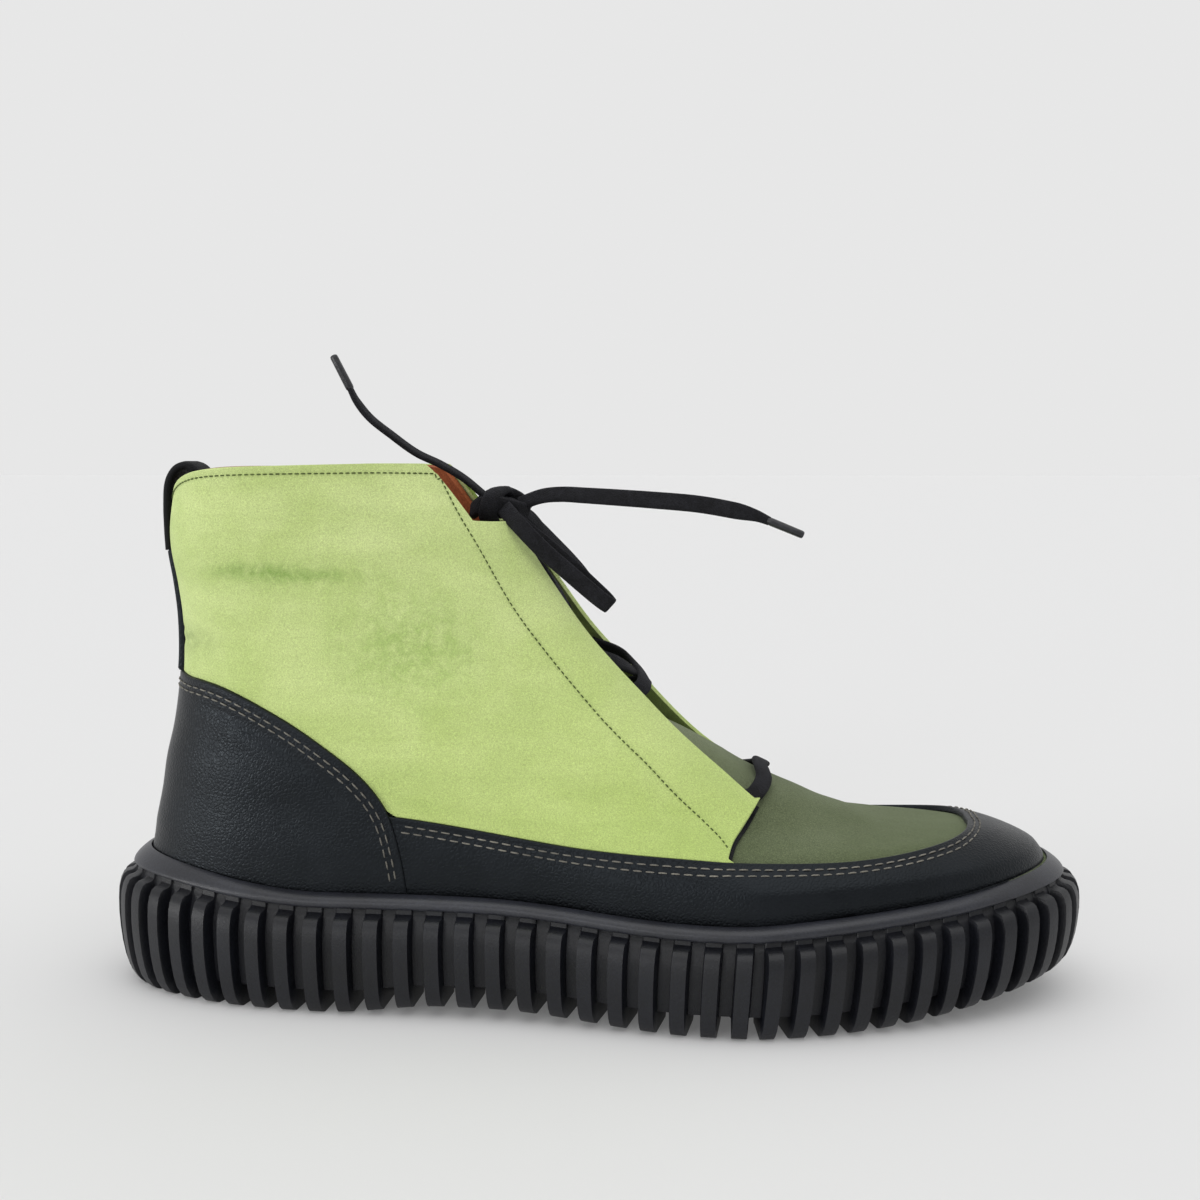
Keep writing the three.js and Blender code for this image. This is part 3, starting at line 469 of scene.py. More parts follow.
def tread_at(share):
    """Height of the tread: the toe spring, and the arch at the waist."""
    spring = TOE_SPRING * np.maximum(0, (share - 0.7) / 0.3) ** 2
    return spring + WAIST_ARCH * smooth(0.22, 0.35, share) * (1 - smooth(0.4, 0.62, share))


def heel_climb(share):
    return 1 - smooth(-0.03, 0.22, share)


def toe_climb(share):
    return smooth(0.86, 0.98, share)


def at_waist(share):
    return np.exp(-(((share - 0.44) / 0.12) ** 2))


def welt_rise(share):
    rise = mix(WELT_SIDE_RISE, WELT_HEEL_RISE, heel_climb(share))
    return rise + WELT_WAIST_RISE * at_waist(share) + WELT_TOE_RISE * toe_climb(share)


def welt_top(share):
    return floor_at(share) + welt_rise(share)


def welt_bottom(share):
    return welt_top(share) - mix(WELT_HEIGHT, WELT_HEEL_HEIGHT, heel_climb(share))


# %% A place on the leather
def surface(turn, s):
    """The point of the last at a turn and a ring number, in millimetres."""
    turn, s = np.broadcast_arrays(np.mod(np.asarray(turn, float), 1), np.asarray(s, float))
    outer = turn <= 0.5
    phi = 2 * np.pi * np.where(outer, turn, 1 - turn)
    along = (1 - np.cos(phi)) / 2
    x = (mix(ring_back(s), ring_front(s), along) - 0.5) * UPPER_LENGTH
    share = share_of(x)
    footness = smooth(0.45, 0.85, ring_front(s))
    skewed = np.clip(along + np.where(outer, 1, -1) * 0.035 * footness, STATIONS[0], STATIONS[2])
    a, b, c = [w(s) / math.sqrt(4 * at * (1 - at)) ** 0.8 for w, at in zip(ring_widths, STATIONS)]
    ends = ((b - a) / (STATIONS[1] - STATIONS[0]), (c - a) / (STATIONS[2] - STATIONS[0]),
            (c - b) / (STATIONS[2] - STATIONS[1]))
    late = skewed > STATIONS[1]
    low, high = np.where(late, b, a), np.where(late, c, b)
    slope_low, slope_high = np.where(late, ends[1], ends[0]), np.where(late, ends[2], ends[1])
    span = np.where(late, STATIONS[2] - STATIONS[1], STATIONS[1] - STATIONS[0])
    t = (skewed - np.where(late, STATIONS[1], STATIONS[0])) / span
    envelope = (low * (2 * t**3 - 3 * t**2 + 1) + slope_low * span * (t**3 - 2 * t**2 + t)
                + high * (3 * t**2 - 2 * t**3) + slope_high * span * (t**3 - t**2))
    arch = np.where(outer, 1, 1 - 0.09 * footness * np.exp(-(((along - 0.42) / 0.16) ** 2)))
    half = envelope * arch * np.maximum(np.sin(phi), 0) ** mix(0.74, 0.86, smooth(0.2, 0.8, along))
    y = 6 * footness * smooth(0.5, 1, share) + np.where(outer, -half, half)
    low_rise = welt_rise(share) / COLLAR_RISE
    rise = mix(rise_back(s), rise_front(s), along)
    rise = np.where(s < 1, low_rise * s, np.where(s < 2, mix(low_rise, rise, s - 1), rise))
    dip = COLLAR_DIP * smooth(10, TOP, s) * np.exp(-along / 0.07)
    return np.stack([x, y, floor_at(share) + rise * COLLAR_RISE - dip], -1)


def step_round(turn, s):
    """A short step of two thousandths of a turn along a ring."""
    return surface(turn + 1e-3, s) - surface(turn - 1e-3, s)


def normal_at(turn, s):
    around = step_round(turn, s)
    low = np.clip(np.asarray(s, float) - 0.02, 0, TOP - 0.04)
    return unit(np.cross(around, surface(turn, low + 0.04) - surface(turn, low)))


def offset_point(turn, s, offset):
    return surface(turn, s) + normal_at(turn, s) * np.asarray(offset)[..., None]


def beside_point(turn, out, z):
    """A point level with the last's lowest ring, some way out from it, at a height."""
    at = surface(turn, 1.0)
    way = unit(step_round(turn, 1.0)[..., :2])
    out = np.asarray(out)
    z = np.broadcast_to(z, at[..., 0].shape)
    return np.stack([at[..., 0] + way[..., 1] * out, at[..., 1] - way[..., 0] * out, z], -1)


print("toe tip at", surface(0.5, 1.0).round(1), "collar front at", surface(0.5, 12.0).round(1))

# %% [markdown]
# The pattern pieces are bounded by lines that a cutter would draw on the side of the last. Each line
# is given by a few side-view points and is looked up on the leather as turns and rings.

# %% Lines drawn on the side of the last
def on_side(points, side):
    """The turns and rings of side-view points (x, z). side is -1 on the outer side and 1 on the inner."""
    points = np.asarray(points, float)
    turns, rings = np.meshgrid(np.linspace(0.01, 0.49, 160), np.linspace(0, TOP, 140), indexing="ij")
    turns = turns if side < 0 else 1 - turns
    grid = surface(turns, rings)
    found = []
    for x, z in points:
        i = np.argmin((grid[..., 0] - x) ** 2 + (grid[..., 2] - z) ** 2)
        turn, s = turns.flat[i], rings.flat[i]
        for _ in range(12):
            here = surface(turn, s)
            by_turn = (surface(turn + 1e-4, s) - here) / 1e-4
            by_ring = (surface(turn, s + 1e-3) - here) / 1e-3
            gap_x, gap_z = x - here[0], z - here[2]
            det = by_turn[0] * by_ring[2] - by_turn[2] * by_ring[0]
            if abs(det) < 1e-6:
                break
            turn += np.clip((gap_x * by_ring[2] - gap_z * by_ring[0]) / det, -0.01, 0.01)
            s = np.clip(s + np.clip((gap_z * by_turn[0] - gap_x * by_turn[2]) / det, -0.4, 0.4), 0, TOP)
        found.append((turn, s))
    return np.array(found)


def halving(is_before, near, far, rounds=30):
    """The value at which a test turns from true to false, for each place."""
    for _ in range(rounds):
        mid = (near + far) / 2
        before = is_before(mid)
        near, far = np.where(before, mid, near), np.where(before, far, mid)
    return near


def ring_at_height(turn, height, low, high, place=surface):
    """The ring at which the leather reaches a height, for each turn."""
    def is_below(ring):
        point = place(turn, ring)
        return point[..., 2] < height(point[..., 0])

    return halving(is_below, np.full(np.shape(turn), low), np.full(np.shape(turn), high))


# %% The throat, the facings and the tongue slot
THROAT_BASE = np.array([0.176 * UPPER_LENGTH, 0, 0.458 * COLLAR_RISE])
THROAT_TOP = np.array([-0.2 * UPPER_LENGTH, 0, 1.275 * COLLAR_RISE])
THROAT_LENGTH = np.linalg.norm(THROAT_TOP - THROAT_BASE)
THROAT_UP = (THROAT_TOP - THROAT_BASE) / THROAT_LENGTH
THROAT_INWARD = np.cross(THROAT_UP, [0, 1.0, 0])
FLAP_LIFT = 2.9
FACING_EDGE = [
    # share of the way up the throat, share of half the ball's width
    (-0.1, 0.53), (0, 0.5), (0.1, 0.406), (0.2, 0.346), (0.3, 0.288), (0.42, 0.242), (0.7, 0.175),
    (1, 0.175),
]
SLOT_EDGE = [(0, 0.604), (0.2, 0.5), (0.45, 0.396), (0.7, 0.354), (1, 0.354)]
facing_gap, slot_gap = [
    curve([(at, BALL_WIDTH / 2 * share) for at, share in edge]) for edge in (FACING_EDGE, SLOT_EDGE)]
inner_extra = curve([(0, 4.5), (0.12, 3.5), (0.3, 0)])


def up_throat(point):
    return (point - THROAT_BASE) @ THROAT_UP / THROAT_LENGTH


def from_middle(turn, s):
    return np.abs(surface(turn, s)[..., 1] - surface(0.5, s)[..., 1])


def flap_lift(turn, s):
    """How far the free edge of a facing stands off the tongue."""
    share = up_throat(surface(0.5, s))
    rise = FLAP_LIFT * mix(1, 0.5, smooth(0.25, 0.5, share)) * (1 - smooth(0.8, 0.95, share))
    lift = rise * (1 - smooth(0, 10, from_middle(turn, s) - facing_gap(share) - 1))
    return np.where((turn < 0.25) | (turn > 0.75), 0, lift)


def turn_beside(s, gap, side, lift=None):
    """The turn at which the leather meets the throat's edge, for each ring."""
    def is_inside(away):
        turn = 0.5 + side * away
        point = surface(turn, s) if lift is None else offset_point(turn, s, lift(turn, s))
        return np.abs(point[..., 1]) < gap(up_throat(point))

    return 0.5 + side * halving(is_inside, np.zeros(np.shape(s)), np.full(np.shape(s), 0.2))


TONGUE_SINK = 12
tongue_sink = curve([(0.1, 0), (0.17, 0.1), (0.25, 0.32), (0.44, 0.56), (0.7, 0.92), (0.85, 1)])


def tongue_point(turn, s, offset):
    """A point of the tongue, which sinks behind the facings on its way up."""
    share = up_throat(surface(0.5, s))
    bowl = 1 - smooth(0.6, 1, from_middle(turn, s) / slot_gap(share))
    sink = TONGUE_SINK * tongue_sink(share) * bowl
    return offset_point(turn, s, offset) + THROAT_INWARD * sink[..., None]


# %% Lines of the pattern, on one side
PANEL = 1.2  # thickness of an outer leather
SKIN = 1.5  # depth of the shell's outer face under the last's surface
UPPER_WALL = 1.6
SEAM = {-1: 0.0, 1: 1.0}  # turn of the back seam, on each side
ONE_TURN = np.array([1, 0])
rand_edge = curve([(0.1, 3.3), (0.19, 3.2), (0.25, 2.95), (0.3, 3.02), (0.36, 2.78), (0.41, 2.92),
                   (0.47, 3.3), (0.5, 3.4)])
COUNTER_TOP = [(-123, 93.6), (-106, 90.8), (-89, 83.5), (-75, 75), (-64, 66.5), (-57, 57.5), (-53, 45),
               (-51, 32)]
NOTCH = [(-48.2, 154.6), (-46.6, 152.4), (-44.5, 149.8), (-41, 144.5), (-38.2, 140.4), (-36, 139.1),
         (-32, 138.4), (-27, 137.6), (-16, 136.3)]
FACING_FOOT = [(38.4, 41), (38.6, 46), (40.2, 50.8), (43.7, 54.5), (46.7, 58.6)]


def rand_top(turn):
    return rand_edge(np.minimum(turn, 1 - turn))


def rand_line(first, last, count):
    turns = np.linspace(first, last, count)
    return np.stack([turns, rand_top(turns)], -1)


def pattern_lines(side):
    """Facing edge, notch, foot of the facing and counter edge of one side, each as turns and rings."""
    rings = np.linspace(5.2, TOP, 90)
    gap = facing_gap if side < 0 else lambda share: facing_gap(share) + inner_extra(share)
    edge = np.stack([turn_beside(rings, gap, side, flap_lift), rings], -1)
    places = offset_point(edge[:, 0], edge[:, 1], flap_lift(edge[:, 0], edge[:, 1]))
    notch_x, notch_z = np.array(NOTCH).T
    keep = (places[:, 0] <= 46.7) & (places[:, 2] <= np.interp(places[:, 0], notch_x, notch_z) - 0.2)
    foot = on_side(along_path(FACING_FOOT, 24)[0], side)
    notch_fine = along_path(NOTCH, 60)[0]
    notch = on_side(notch_fine, side)
    on_leather = surface(notch[:, 0], notch[:, 1])
    outside = np.abs(on_leather[:, 1]) > facing_gap(up_throat(on_leather))
    counter = on_side(along_path(COUNTER_TOP, 60)[0][4:], side)
    return edge[keep], notch[outside], foot, counter


lines = {side: pattern_lines(side) for side in (-1, 1)}
for side, found in lines.items():
    for name, line in zip(("facing", "notch", "foot", "counter"), found):
        print("side", side, name, "from", line[0].round(3), "to", line[-1].round(3))

# %% [markdown]
# A leather panel is a sheet bounded by four of those lines. The grid of the sheet follows its own
# edges, with rows close together near them, so the cut edge can be rounded and a stitch row can
# press its shallow groove. Cutting a plain grid with booleans would leave ragged edges.

# %% A panel between four lines
EDGE_STEPS = np.array([0, 0.08, 0.22, 0.42, 0.75, 1.2, 1.7, 2.2, 2.8, 3.4, 4.0, 4.8])


def line_of(points):
    points = np.asarray(points, float)
    run = run_along(surface(points[:, 0], points[:, 1]))
    return lambda v: np.stack([np.interp(v, run / run[-1], points[:, k]) for k in (0, 1)], -1), run[-1]


def spaced(length, middle):
    length = np.atleast_1d(np.asarray(length, float))[:, None]
    edge = EDGE_STEPS[None, :] * np.minimum(1, 0.4 * length / EDGE_STEPS[-1])
    inner = edge[:, -1:] + (length - 2 * edge[:, -1:]) * np.linspace(0, 1, middle + 2)[None, 1:-1]
    return np.concatenate([edge, inner, (length - edge)[:, ::-1]], 1) / length


def panel_grid(bottom, top, left, right, columns, rows):
    (b, b_length), (t, t_length), (l, _), (r, _) = [line_of(x) for x in (bottom, top, left, right)]
    u = spaced((b_length + t_length) / 2, columns)[0]
    height = np.linalg.norm(surface(*t(u).T) - surface(*b(u).T), axis=-1)
    v = spaced(height, rows)
    uu, vv = u[:, None, None], v[:, :, None]
    corners = ((1 - uu) * (1 - vv) * b(0.0) + uu * (1 - vv) * b(1.0)
               + (1 - uu) * vv * t(0.0) + uu * vv * t(1.0))
    grid = (1 - vv) * b(u)[:, None] + vv * t(u)[:, None] + (1 - uu) * l(v) + uu * r(v) - corners
    return grid[..., 0], grid[..., 1]


def edge_distance(points, axes=(0, 1)):
    """How far each point of a grid lies from the grid's own edges, in millimetres."""
    found = np.full(points.shape[:2], 1e3)
    for axis in axes:
        step = np.linalg.norm(np.diff(points, axis=axis), axis=-1)
        zero = np.zeros_like(np.take(step, [0], axis))
        run = np.concatenate([zero, np.cumsum(step, axis)], axis)
        found = np.minimum(found, np.minimum(run, np.take(run, [-1], axis) - run))
    return found


def sheet_faces(columns, rows):
    index = np.arange(columns * rows).reshape(columns, rows)
    quads = np.stack([index[:-1, :-1], index[1:, :-1], index[1:, 1:], index[:-1, 1:]], -1).reshape(-1, 4)
    behind = quads[:, ::-1] + columns * rows
    rim = np.concatenate([index[:, 0], index[-1, 1:], index[-2::-1, -1], index[0, -2:0:-1]])
    rim_back = rim + columns * rows
    sides = np.stack([rim, rim_back, np.roll(rim_back, -1), np.roll(rim, -1)], -1)
    return np.concatenate([quads, behind, sides]).tolist()


def level_line(first, last, ring, count):
    """A line that stays on one ring from one turn to another."""
    return np.stack([np.linspace(first, last, count), np.full(count, ring)], -1)


def sheet_solid(front, back):
    return np.concatenate([front.reshape(-1, 3), back.reshape(-1, 3)]), sheet_faces(*front.shape[:2])


def round_edge(distance, radius):
    inside = np.clip(radius - distance, 0, radius)
    return radius - np.sqrt(radius**2 - inside**2)


# %% Soft troughs and ridges, by their lines in the boot's own sizes
def trough(points, line, width, depth):
    """A soft hollow along a line of points, as an offset that is negative in the hollow."""
    line = along_path(line, 60)[0] if len(line) < 40 else np.asarray(line)
    flat = points.reshape(-1, 3)
    near = np.full(len(flat), 1e9)
    for start in range(0, len(flat), 4000):
        gap = flat[start:start + 4000, None] - line[None]
        near[start:start + 4000] = np.min(np.sum(gap**2, -1), 1)
    ends = np.minimum(np.linalg.norm(flat - line[0], axis=1), np.linalg.norm(flat - line[-1], axis=1))
    fade = smooth(0, width * 3, ends + width)
    return (-depth * np.exp(-near / width**2) * fade).reshape(points.shape[:2])


print("panel helpers ready")

# %% [markdown]
# The two leathers of the upper are nubuck: buffed until the surface is a short nap that looks dusty
# and uneven, with darker marks where it has been pressed or brushed the other way, and painted shade
# along the creases.

# %% Nubuck finish
def nubuck(name, pale, deep, low, marks, sheen_colour, grain=1.0):
    material, tree, shader, where = new_finish(name, 0.9, 0.15, 0.3, sheen_colour, 0.5)
    cloud = add_noise(tree, where, 28, 5, 0.6, 0.4)
    nap = add_noise(tree, where, 2300, 4, 0.65)
    speck = add_noise(tree, where, 5200, 2, 0.6)
    between = mix(np.array(deep), np.array(pale), 0.6)
    base = add_ramp(tree, cloud, [(0.3, deep), (0.52, between), (0.75, pale)])
    height = tree.nodes.new("ShaderNodeSeparateXYZ")
    tree.links.new(where, height.inputs[0])
    # Towards the bottom the colour goes over to the low colour: yellower, the leather's own tone, and
    # darker, a painted shade.
    lower = add_fade(tree, height.outputs["Z"], 0.115, 0.035)
    base = add_mix(tree, add_math(tree, "MULTIPLY", lower, 0.75), base, low)
    stretch = tree.nodes.new("ShaderNodeMapping")
    stretch.inputs["Scale"].default_value = (0.3, 0.6, 1.0)
    tree.links.new(where, stretch.inputs["Vector"])
    strokes = add_noise(tree, stretch.outputs[0], 95, 5, 0.6, 0.5)
    brushed = add_ramp(tree, strokes, [(0.35, (0.93, 0.945, 0.90)), (0.65, (1.05, 1.04, 1.06))])
    base = add_mix(tree, 1.0, base, brushed, "MULTIPLY")
    # Each mark darkens the colour in a patch: a scuff on the nap, and painted shade where the patch lies on
    # a crease.
    for (centre, radii, turn, strength, colour) in marks:
        spot = add_patch(tree, where, centre, radii, turn)
        scuff_and_shade_noise = add_noise(tree, where, 160, 6, 0.75, 0.8)
        rough = add_ramp(tree, scuff_and_shade_noise, [(0.34, grey(0)), (0.74, grey(1))])
        amount = add_math(tree, "MULTIPLY", add_math(tree, "MULTIPLY", spot, rough), strength, True)
        base = add_mix(tree, amount, base, colour)
    for noise, start, end, dark, light in (
            (nap, 0.3, 0.7, 0.19, 0.15), (speck, 0.35, 0.65, 0.17, 0.12)):
        tone = add_ramp(tree, noise, [(start, grey(1 - dark * grain)), (end, grey(1 + light * grain))])
        base = add_mix(tree, 1.0, base, tone, "MULTIPLY")
    tree.links.new(base, shader.inputs["Base Color"])
    add_bump(tree, shader, [(nap, 0.00022), (speck, 0.00012)])
    return material


# Darker patches on the outer quarter, each along one of its creases: scuffs, and painted shade of the fold.
LIME_MARKS = [
    # centre in metres, radii, turn about y, strength, colour
    ((-0.0865, -0.033, 0.1240), (0.040, 0.03, 0.0085), 0.02, 0.8, linear(160, 188, 104)),
    ((-0.0850, -0.033, 0.1242), (0.030, 0.03, 0.0034), 0.03, 1.5, linear(136, 168, 84)),
    ((-0.0480, -0.035, 0.1040), (0.030, 0.03, 0.024), 0.0, 1.3, linear(156, 186, 98)),
    ((-0.0100, -0.025, 0.1310), (0.010, 0.03, 0.010), 0.5, 1.8, linear(132, 156, 88)),
    ((-0.1180, -0.020, 0.1040), (0.016, 0.03, 0.007), 0.1, 1.0, linear(140, 158, 96)),
]
# The low colours are the leathers' yellower tone near the bottom, darkened as painted shade.
lime_finish = nubuck("lime_nubuck", linear(214, 229, 158), linear(194, 213, 134),
                     linear(181, 203, 112), LIME_MARKS, linear(225, 235, 205))
olive_finish = nubuck("olive_nubuck", linear(140, 148, 120), linear(116, 124, 96),
                      linear(74, 86, 52), [], linear(190, 200, 175), 1.9)
print("nubuck finishes:", lime_finish.name, olive_finish.name)


# %% Smooth black leather, lining, rubber, webbing and thread
def smooth_leather():
    material, tree, shader, where = new_finish("black_calf", 0.36, 0.26)
    shader.inputs["Specular Tint"].default_value = (0.78, 0.9, 1.0, 1)
    cells = tree.nodes.new("ShaderNodeTexVoronoi")
    cells.feature = "DISTANCE_TO_EDGE"
    cells.inputs["Scale"].default_value = 900
    waves = add_noise(tree, where, 400, 3)
    tree.links.new(where, cells.inputs["Vector"])
    grain = add_ramp(tree, cells.outputs["Distance"], [(0.0, grey(0)), (0.28, grey(1))])
    cloud = add_noise(tree, where, 60, 5, 0.6, 0.5)
    add_colour(tree, shader, cloud, [(0.3, linear(4, 4, 5)), (0.7, linear(14, 15, 18))])
    worn = add_ramp(tree, cloud, [(0.3, grey(0.33)), (0.7, grey(0.42))])
    tree.links.new(worn, shader.inputs["Roughness"])
    add_bump(tree, shader, [(grain, 0.00006), (waves, 0.00004)])
    return material


def plain_finish(name, dark, light, roughness, scale, bump, specular):
    material, tree, shader, where = new_finish(name, roughness, specular)
    fine = add_noise(tree, where, scale, 4, 0.6)
    broad = add_noise(tree, where, 45, 4, 0.6)
    tone = add_math(tree, "MULTIPLY", fine, broad)
    add_colour(tree, shader, tone, [(0.12, linear(*dark)), (0.42, linear(*light))])
    add_bump(tree, shader, [(fine, bump)])
    return material


black_finish = smooth_leather()
lining_finish, welt_finish, rubber_finish, webbing_finish, thread_finish, green_thread_finish = [
    plain_finish(*row) for row in (
        # name, dark and light colour, roughness, noise scale, bump in metres, specular
        ("tan_lining", (120, 58, 28), (178, 98, 56), 0.75, 1400, 0.0003, 0.4),
        ("welt_rubber", (26, 27, 32), (46, 48, 56), 0.38, 1600, 0.00008, 0.5),
        ("black_rubber", (8, 9, 13), (22, 24, 31), 0.42, 1600, 0.00008, 0.4),
        ("grey_tape", (10, 11, 12), (24, 25, 28), 0.7, 1800, 0.0003, 0.2),
        ("pale_thread", (84, 82, 76), (148, 144, 134), 0.8, 2600, 0.0002, 0.4),
        ("green_thread", (52, 66, 26), (92, 108, 50), 0.8, 2600, 0.0002, 0.4),
    )]
print("finishes:", len(bpy.data.materials))

# %% [markdown]
# The upper's own leather and lining: the shell that holds the foot. It runs from one side of the
# tongue round the heel to the other, olive outside and tan inside, and shows at the collar's edge
# and inside the boot. The tan face is the same sheet, so no light gets between the two.


# %% Shell of the sides and the heel
def top_line(side):
    """Collar edge from the back seam, down the notch and out along the top of the facing."""
    notch = lines[side][1]
    turns = np.linspace(SEAM[side], notch[0, 0], 90)[:-1]
    blend = smooth(0, 0.012, np.abs(turns - notch[0, 0]))
    return np.concatenate([np.stack([turns, mix(notch[0, 1], TOP, blend)], -1), notch])


def facing_line(side):
    """The facing's own front edge, from the rand up to the notch."""
    edge, notch, foot, _ = lines[side]
    lower = foot[foot[:, 1] > rand_top(foot[0, 0]) + 0.02]
    upper = edge[edge[:, 1] < notch[-1, 1] - 0.05]
    return np.concatenate([[[lower[0, 0], rand_top(lower[0, 0])]], lower, upper, notch[-1:]])


def slot_line(side):
    """The edge of the slot behind the facing, from under the foot up to the notch."""
    notch, foot = lines[side][1:3]
    rings = np.linspace(6.2, notch[-1, 1], 60)
    slot = np.stack([turn_beside(rings, slot_gap, side), rings], -1)
    low_turn = foot[0, 0] + side * 0.02
    lower = along_path([(low_turn, 0.0), (low_turn, 1.5), (low_turn, 3.2),
                        (slot[0, 0] + side * 0.012, 5.4), tuple(slot[0])], 40)[0]
    return np.concatenate([lower[:-1], slot])


def full_line(outer, inner):
    """From the outer side round the heel to the inner side. Turns run below 0 on the inner side."""
    return np.concatenate([outer[::-1], inner[1:] - ONE_TURN])


def add_lining(piece, grid, with_rim):
    """Gives the back of a sheet the tan lining, and its cut edge too if asked."""
    piece.data.materials.append(lining_finish)
    quads = (grid.shape[0] - 1) * (grid.shape[1] - 1)
    indices = np.zeros(len(piece.data.polygons), int)
    indices[quads:None if with_rim else 2 * quads] = 1
    piece.data.polygons.foreach_set("material_index", indices.tolist())


slot_lines = {side: slot_line(side) for side in (-1, 1)}
tops = {}
for side in (-1, 1):
    line = top_line(side)
    limit = slot_lines[side][-1, 0]
    keep = line[:, 0] <= limit if side < 0 else line[:, 0] >= limit
    tops[side] = np.concatenate([line[keep], slot_lines[side][-1:]])
left, right = slot_lines[-1], slot_lines[1] - ONE_TURN
bottom = level_line(left[0, 0], right[0, 0], 0.0, 120)
turn, s = panel_grid(bottom, full_line(tops[-1], tops[1]), left, right, 150, 60)
faces = sheet_solid(offset_point(turn, s, -SKIN), offset_point(turn, s, -SKIN - UPPER_WALL))
shell = make_piece("upper_shell", *faces, olive_finish, "olive_leather", ["upper"])
add_lining(shell, turn, True)

# %% [markdown]
# The vamp goes over the toes and on up as the tongue, in one piece of olive nubuck. It lies on the
# last below, and sinks between the facings above, where the laces draw them together.

# %% Vamp and tongue
TONGUE_TOP = 138.0
TONGUE_TOP_RING = 11.4
VAMP_CREASES = [
    ([(36, -38, 47), (52, -26, 56), (62, -10, 58.5), (66, 6, 57), (60, 24, 52)], 5, 0.35),
    ([(58, -42, 40), (72, -28, 47), (80, -8, 50), (80, 12, 49)], 6, 0.3),
]


def vamp_side(side):
    """The slot's edge, a hair nearer the middle, so that the two sheets stay apart."""
    line = slot_lines[side].copy()
    line[:, 0] += -side * 0.0006
    return line[line[:, 1] >= 0.9]


def tongue_skin(turn, s):
    return tongue_point(turn, s, -SKIN)


left, right = vamp_side(-1), vamp_side(1)
turns = np.linspace(left[-1, 0], right[-1, 0], 80)
rings = ring_at_height(turns, lambda x: TONGUE_TOP, 8.0, float(TOP), tongue_skin)
limit = np.interp(turns, [turns[0], 0.5, turns[-1]], [left[-1, 1], TONGUE_TOP_RING, right[-1, 1]])
top = np.stack([turns, np.minimum(rings, limit)], -1)
top[0], top[-1] = left[-1], right[-1]
bottom = level_line(left[0, 0], right[0, 0], left[0, 1], 80)
turn, s = panel_grid(bottom, top, left, right, 90, 110)
outer_face = tongue_skin(turn, s)
fall = sum(trough(outer_face, *crease) for crease in VAMP_CREASES)
outer_face = tongue_point(turn, s, fall - SKIN - round_edge(edge_distance(outer_face), 0.4))
faces = sheet_solid(outer_face, tongue_point(turn, s, -SKIN - UPPER_WALL))
vamp = make_piece("vamp_and_tongue", *faces, olive_finish, "olive_leather", ["tongue", "upper"])
add_lining(vamp, turn, False)

# %% [markdown]
# The quarters are the lime sides. Their front edges are the facings, cut raw and left free, so they
# stand a little off the tongue. Walking and handling leave soft hollows at the ankle.


# %% Quarters
def counter_top_height(x):
    return np.interp(x, [-150, -123, -106], [95, 93.6, 90.8])


def along_counter(side):
    """The counter's edge, from the back seam forwards and down."""
    counter = lines[side][3]
    turns = np.linspace(SEAM[side], counter[0, 0], 12)[:-1]
    back = np.stack([turns, ring_at_height(turns, counter_top_height, 4.0, 9.0)], -1)
    return np.concatenate([back, counter])


QUARTER_CREASES = {
    -1: [
        ([(-112, -30, 122), (-95, -36, 119.5), (-75, -37, 120), (-60, -36, 122)], 6, 0.5),
        ([(-118, -24, 101), (-105, -32, 104), (-90, -36, 108)], 5, 0.4),
        ([(-16, -16, 137), (-13, -18, 131), (-14, -22, 124)], 3, 0.5),
        ([(-60, -37, 96), (-40, -36, 104), (-26, -30, 112)], 9, 0.6),
        ([(-10, -42, 52), (2, -38, 60), (16, -34, 66)], 8, 0.35),
        ([(-126, -6, 102.6), (-121, -15, 103.4), (-115, -23, 104.6)], 1.3, 0.35),
        ([(-126, -6, 106.5), (-121.5, -15, 106.6), (-117, -22, 107.4)], 1.1, 0.25),
        ([(-104, -33, 124.4), (-88, -35, 124.6), (-70, -34, 124.6)], 1.6, 0.25),
    ],
    1: [
        ([(-110, 31, 120), (-92, 36, 118), (-72, 37, 119)], 6, 0.5),
        ([(-60, 37, 97), (-42, 36, 103), (-28, 30, 110)], 9, 0.6),
        ([(-30, 38, 50), (-12, 38, 58), (6, 36, 64)], 8, 0.4),
    ],
}
FACING_ROW = [(-44.2, 150.8), (-41.6, 146), (-38.3, 140), (-33.9, 132.7), (-23.6, 114.8), (-13.9, 101.4),
              (-0.2, 84.6), (9.8, 74.4), (22.6, 62.4), (36.5, 51.6), (39.0, 48.9)]


COLLAR_ROW = 2.2 / 13.0  # 2.2 mm under the edge, in rings of 13 mm
GREEN_GROOVE = (0.9, 0.22)


def green_row(side):
    """The stitch row along the collar and on down the facing."""
    collar = top_line(side)
    collar = collar[collar[:, 1] > TOP - 0.3][:-6]
    facing = on_side(along_path(FACING_ROW, 60)[0], side)
    return np.concatenate([np.stack([collar[:, 0], collar[:, 1] - COLLAR_ROW], -1), facing])


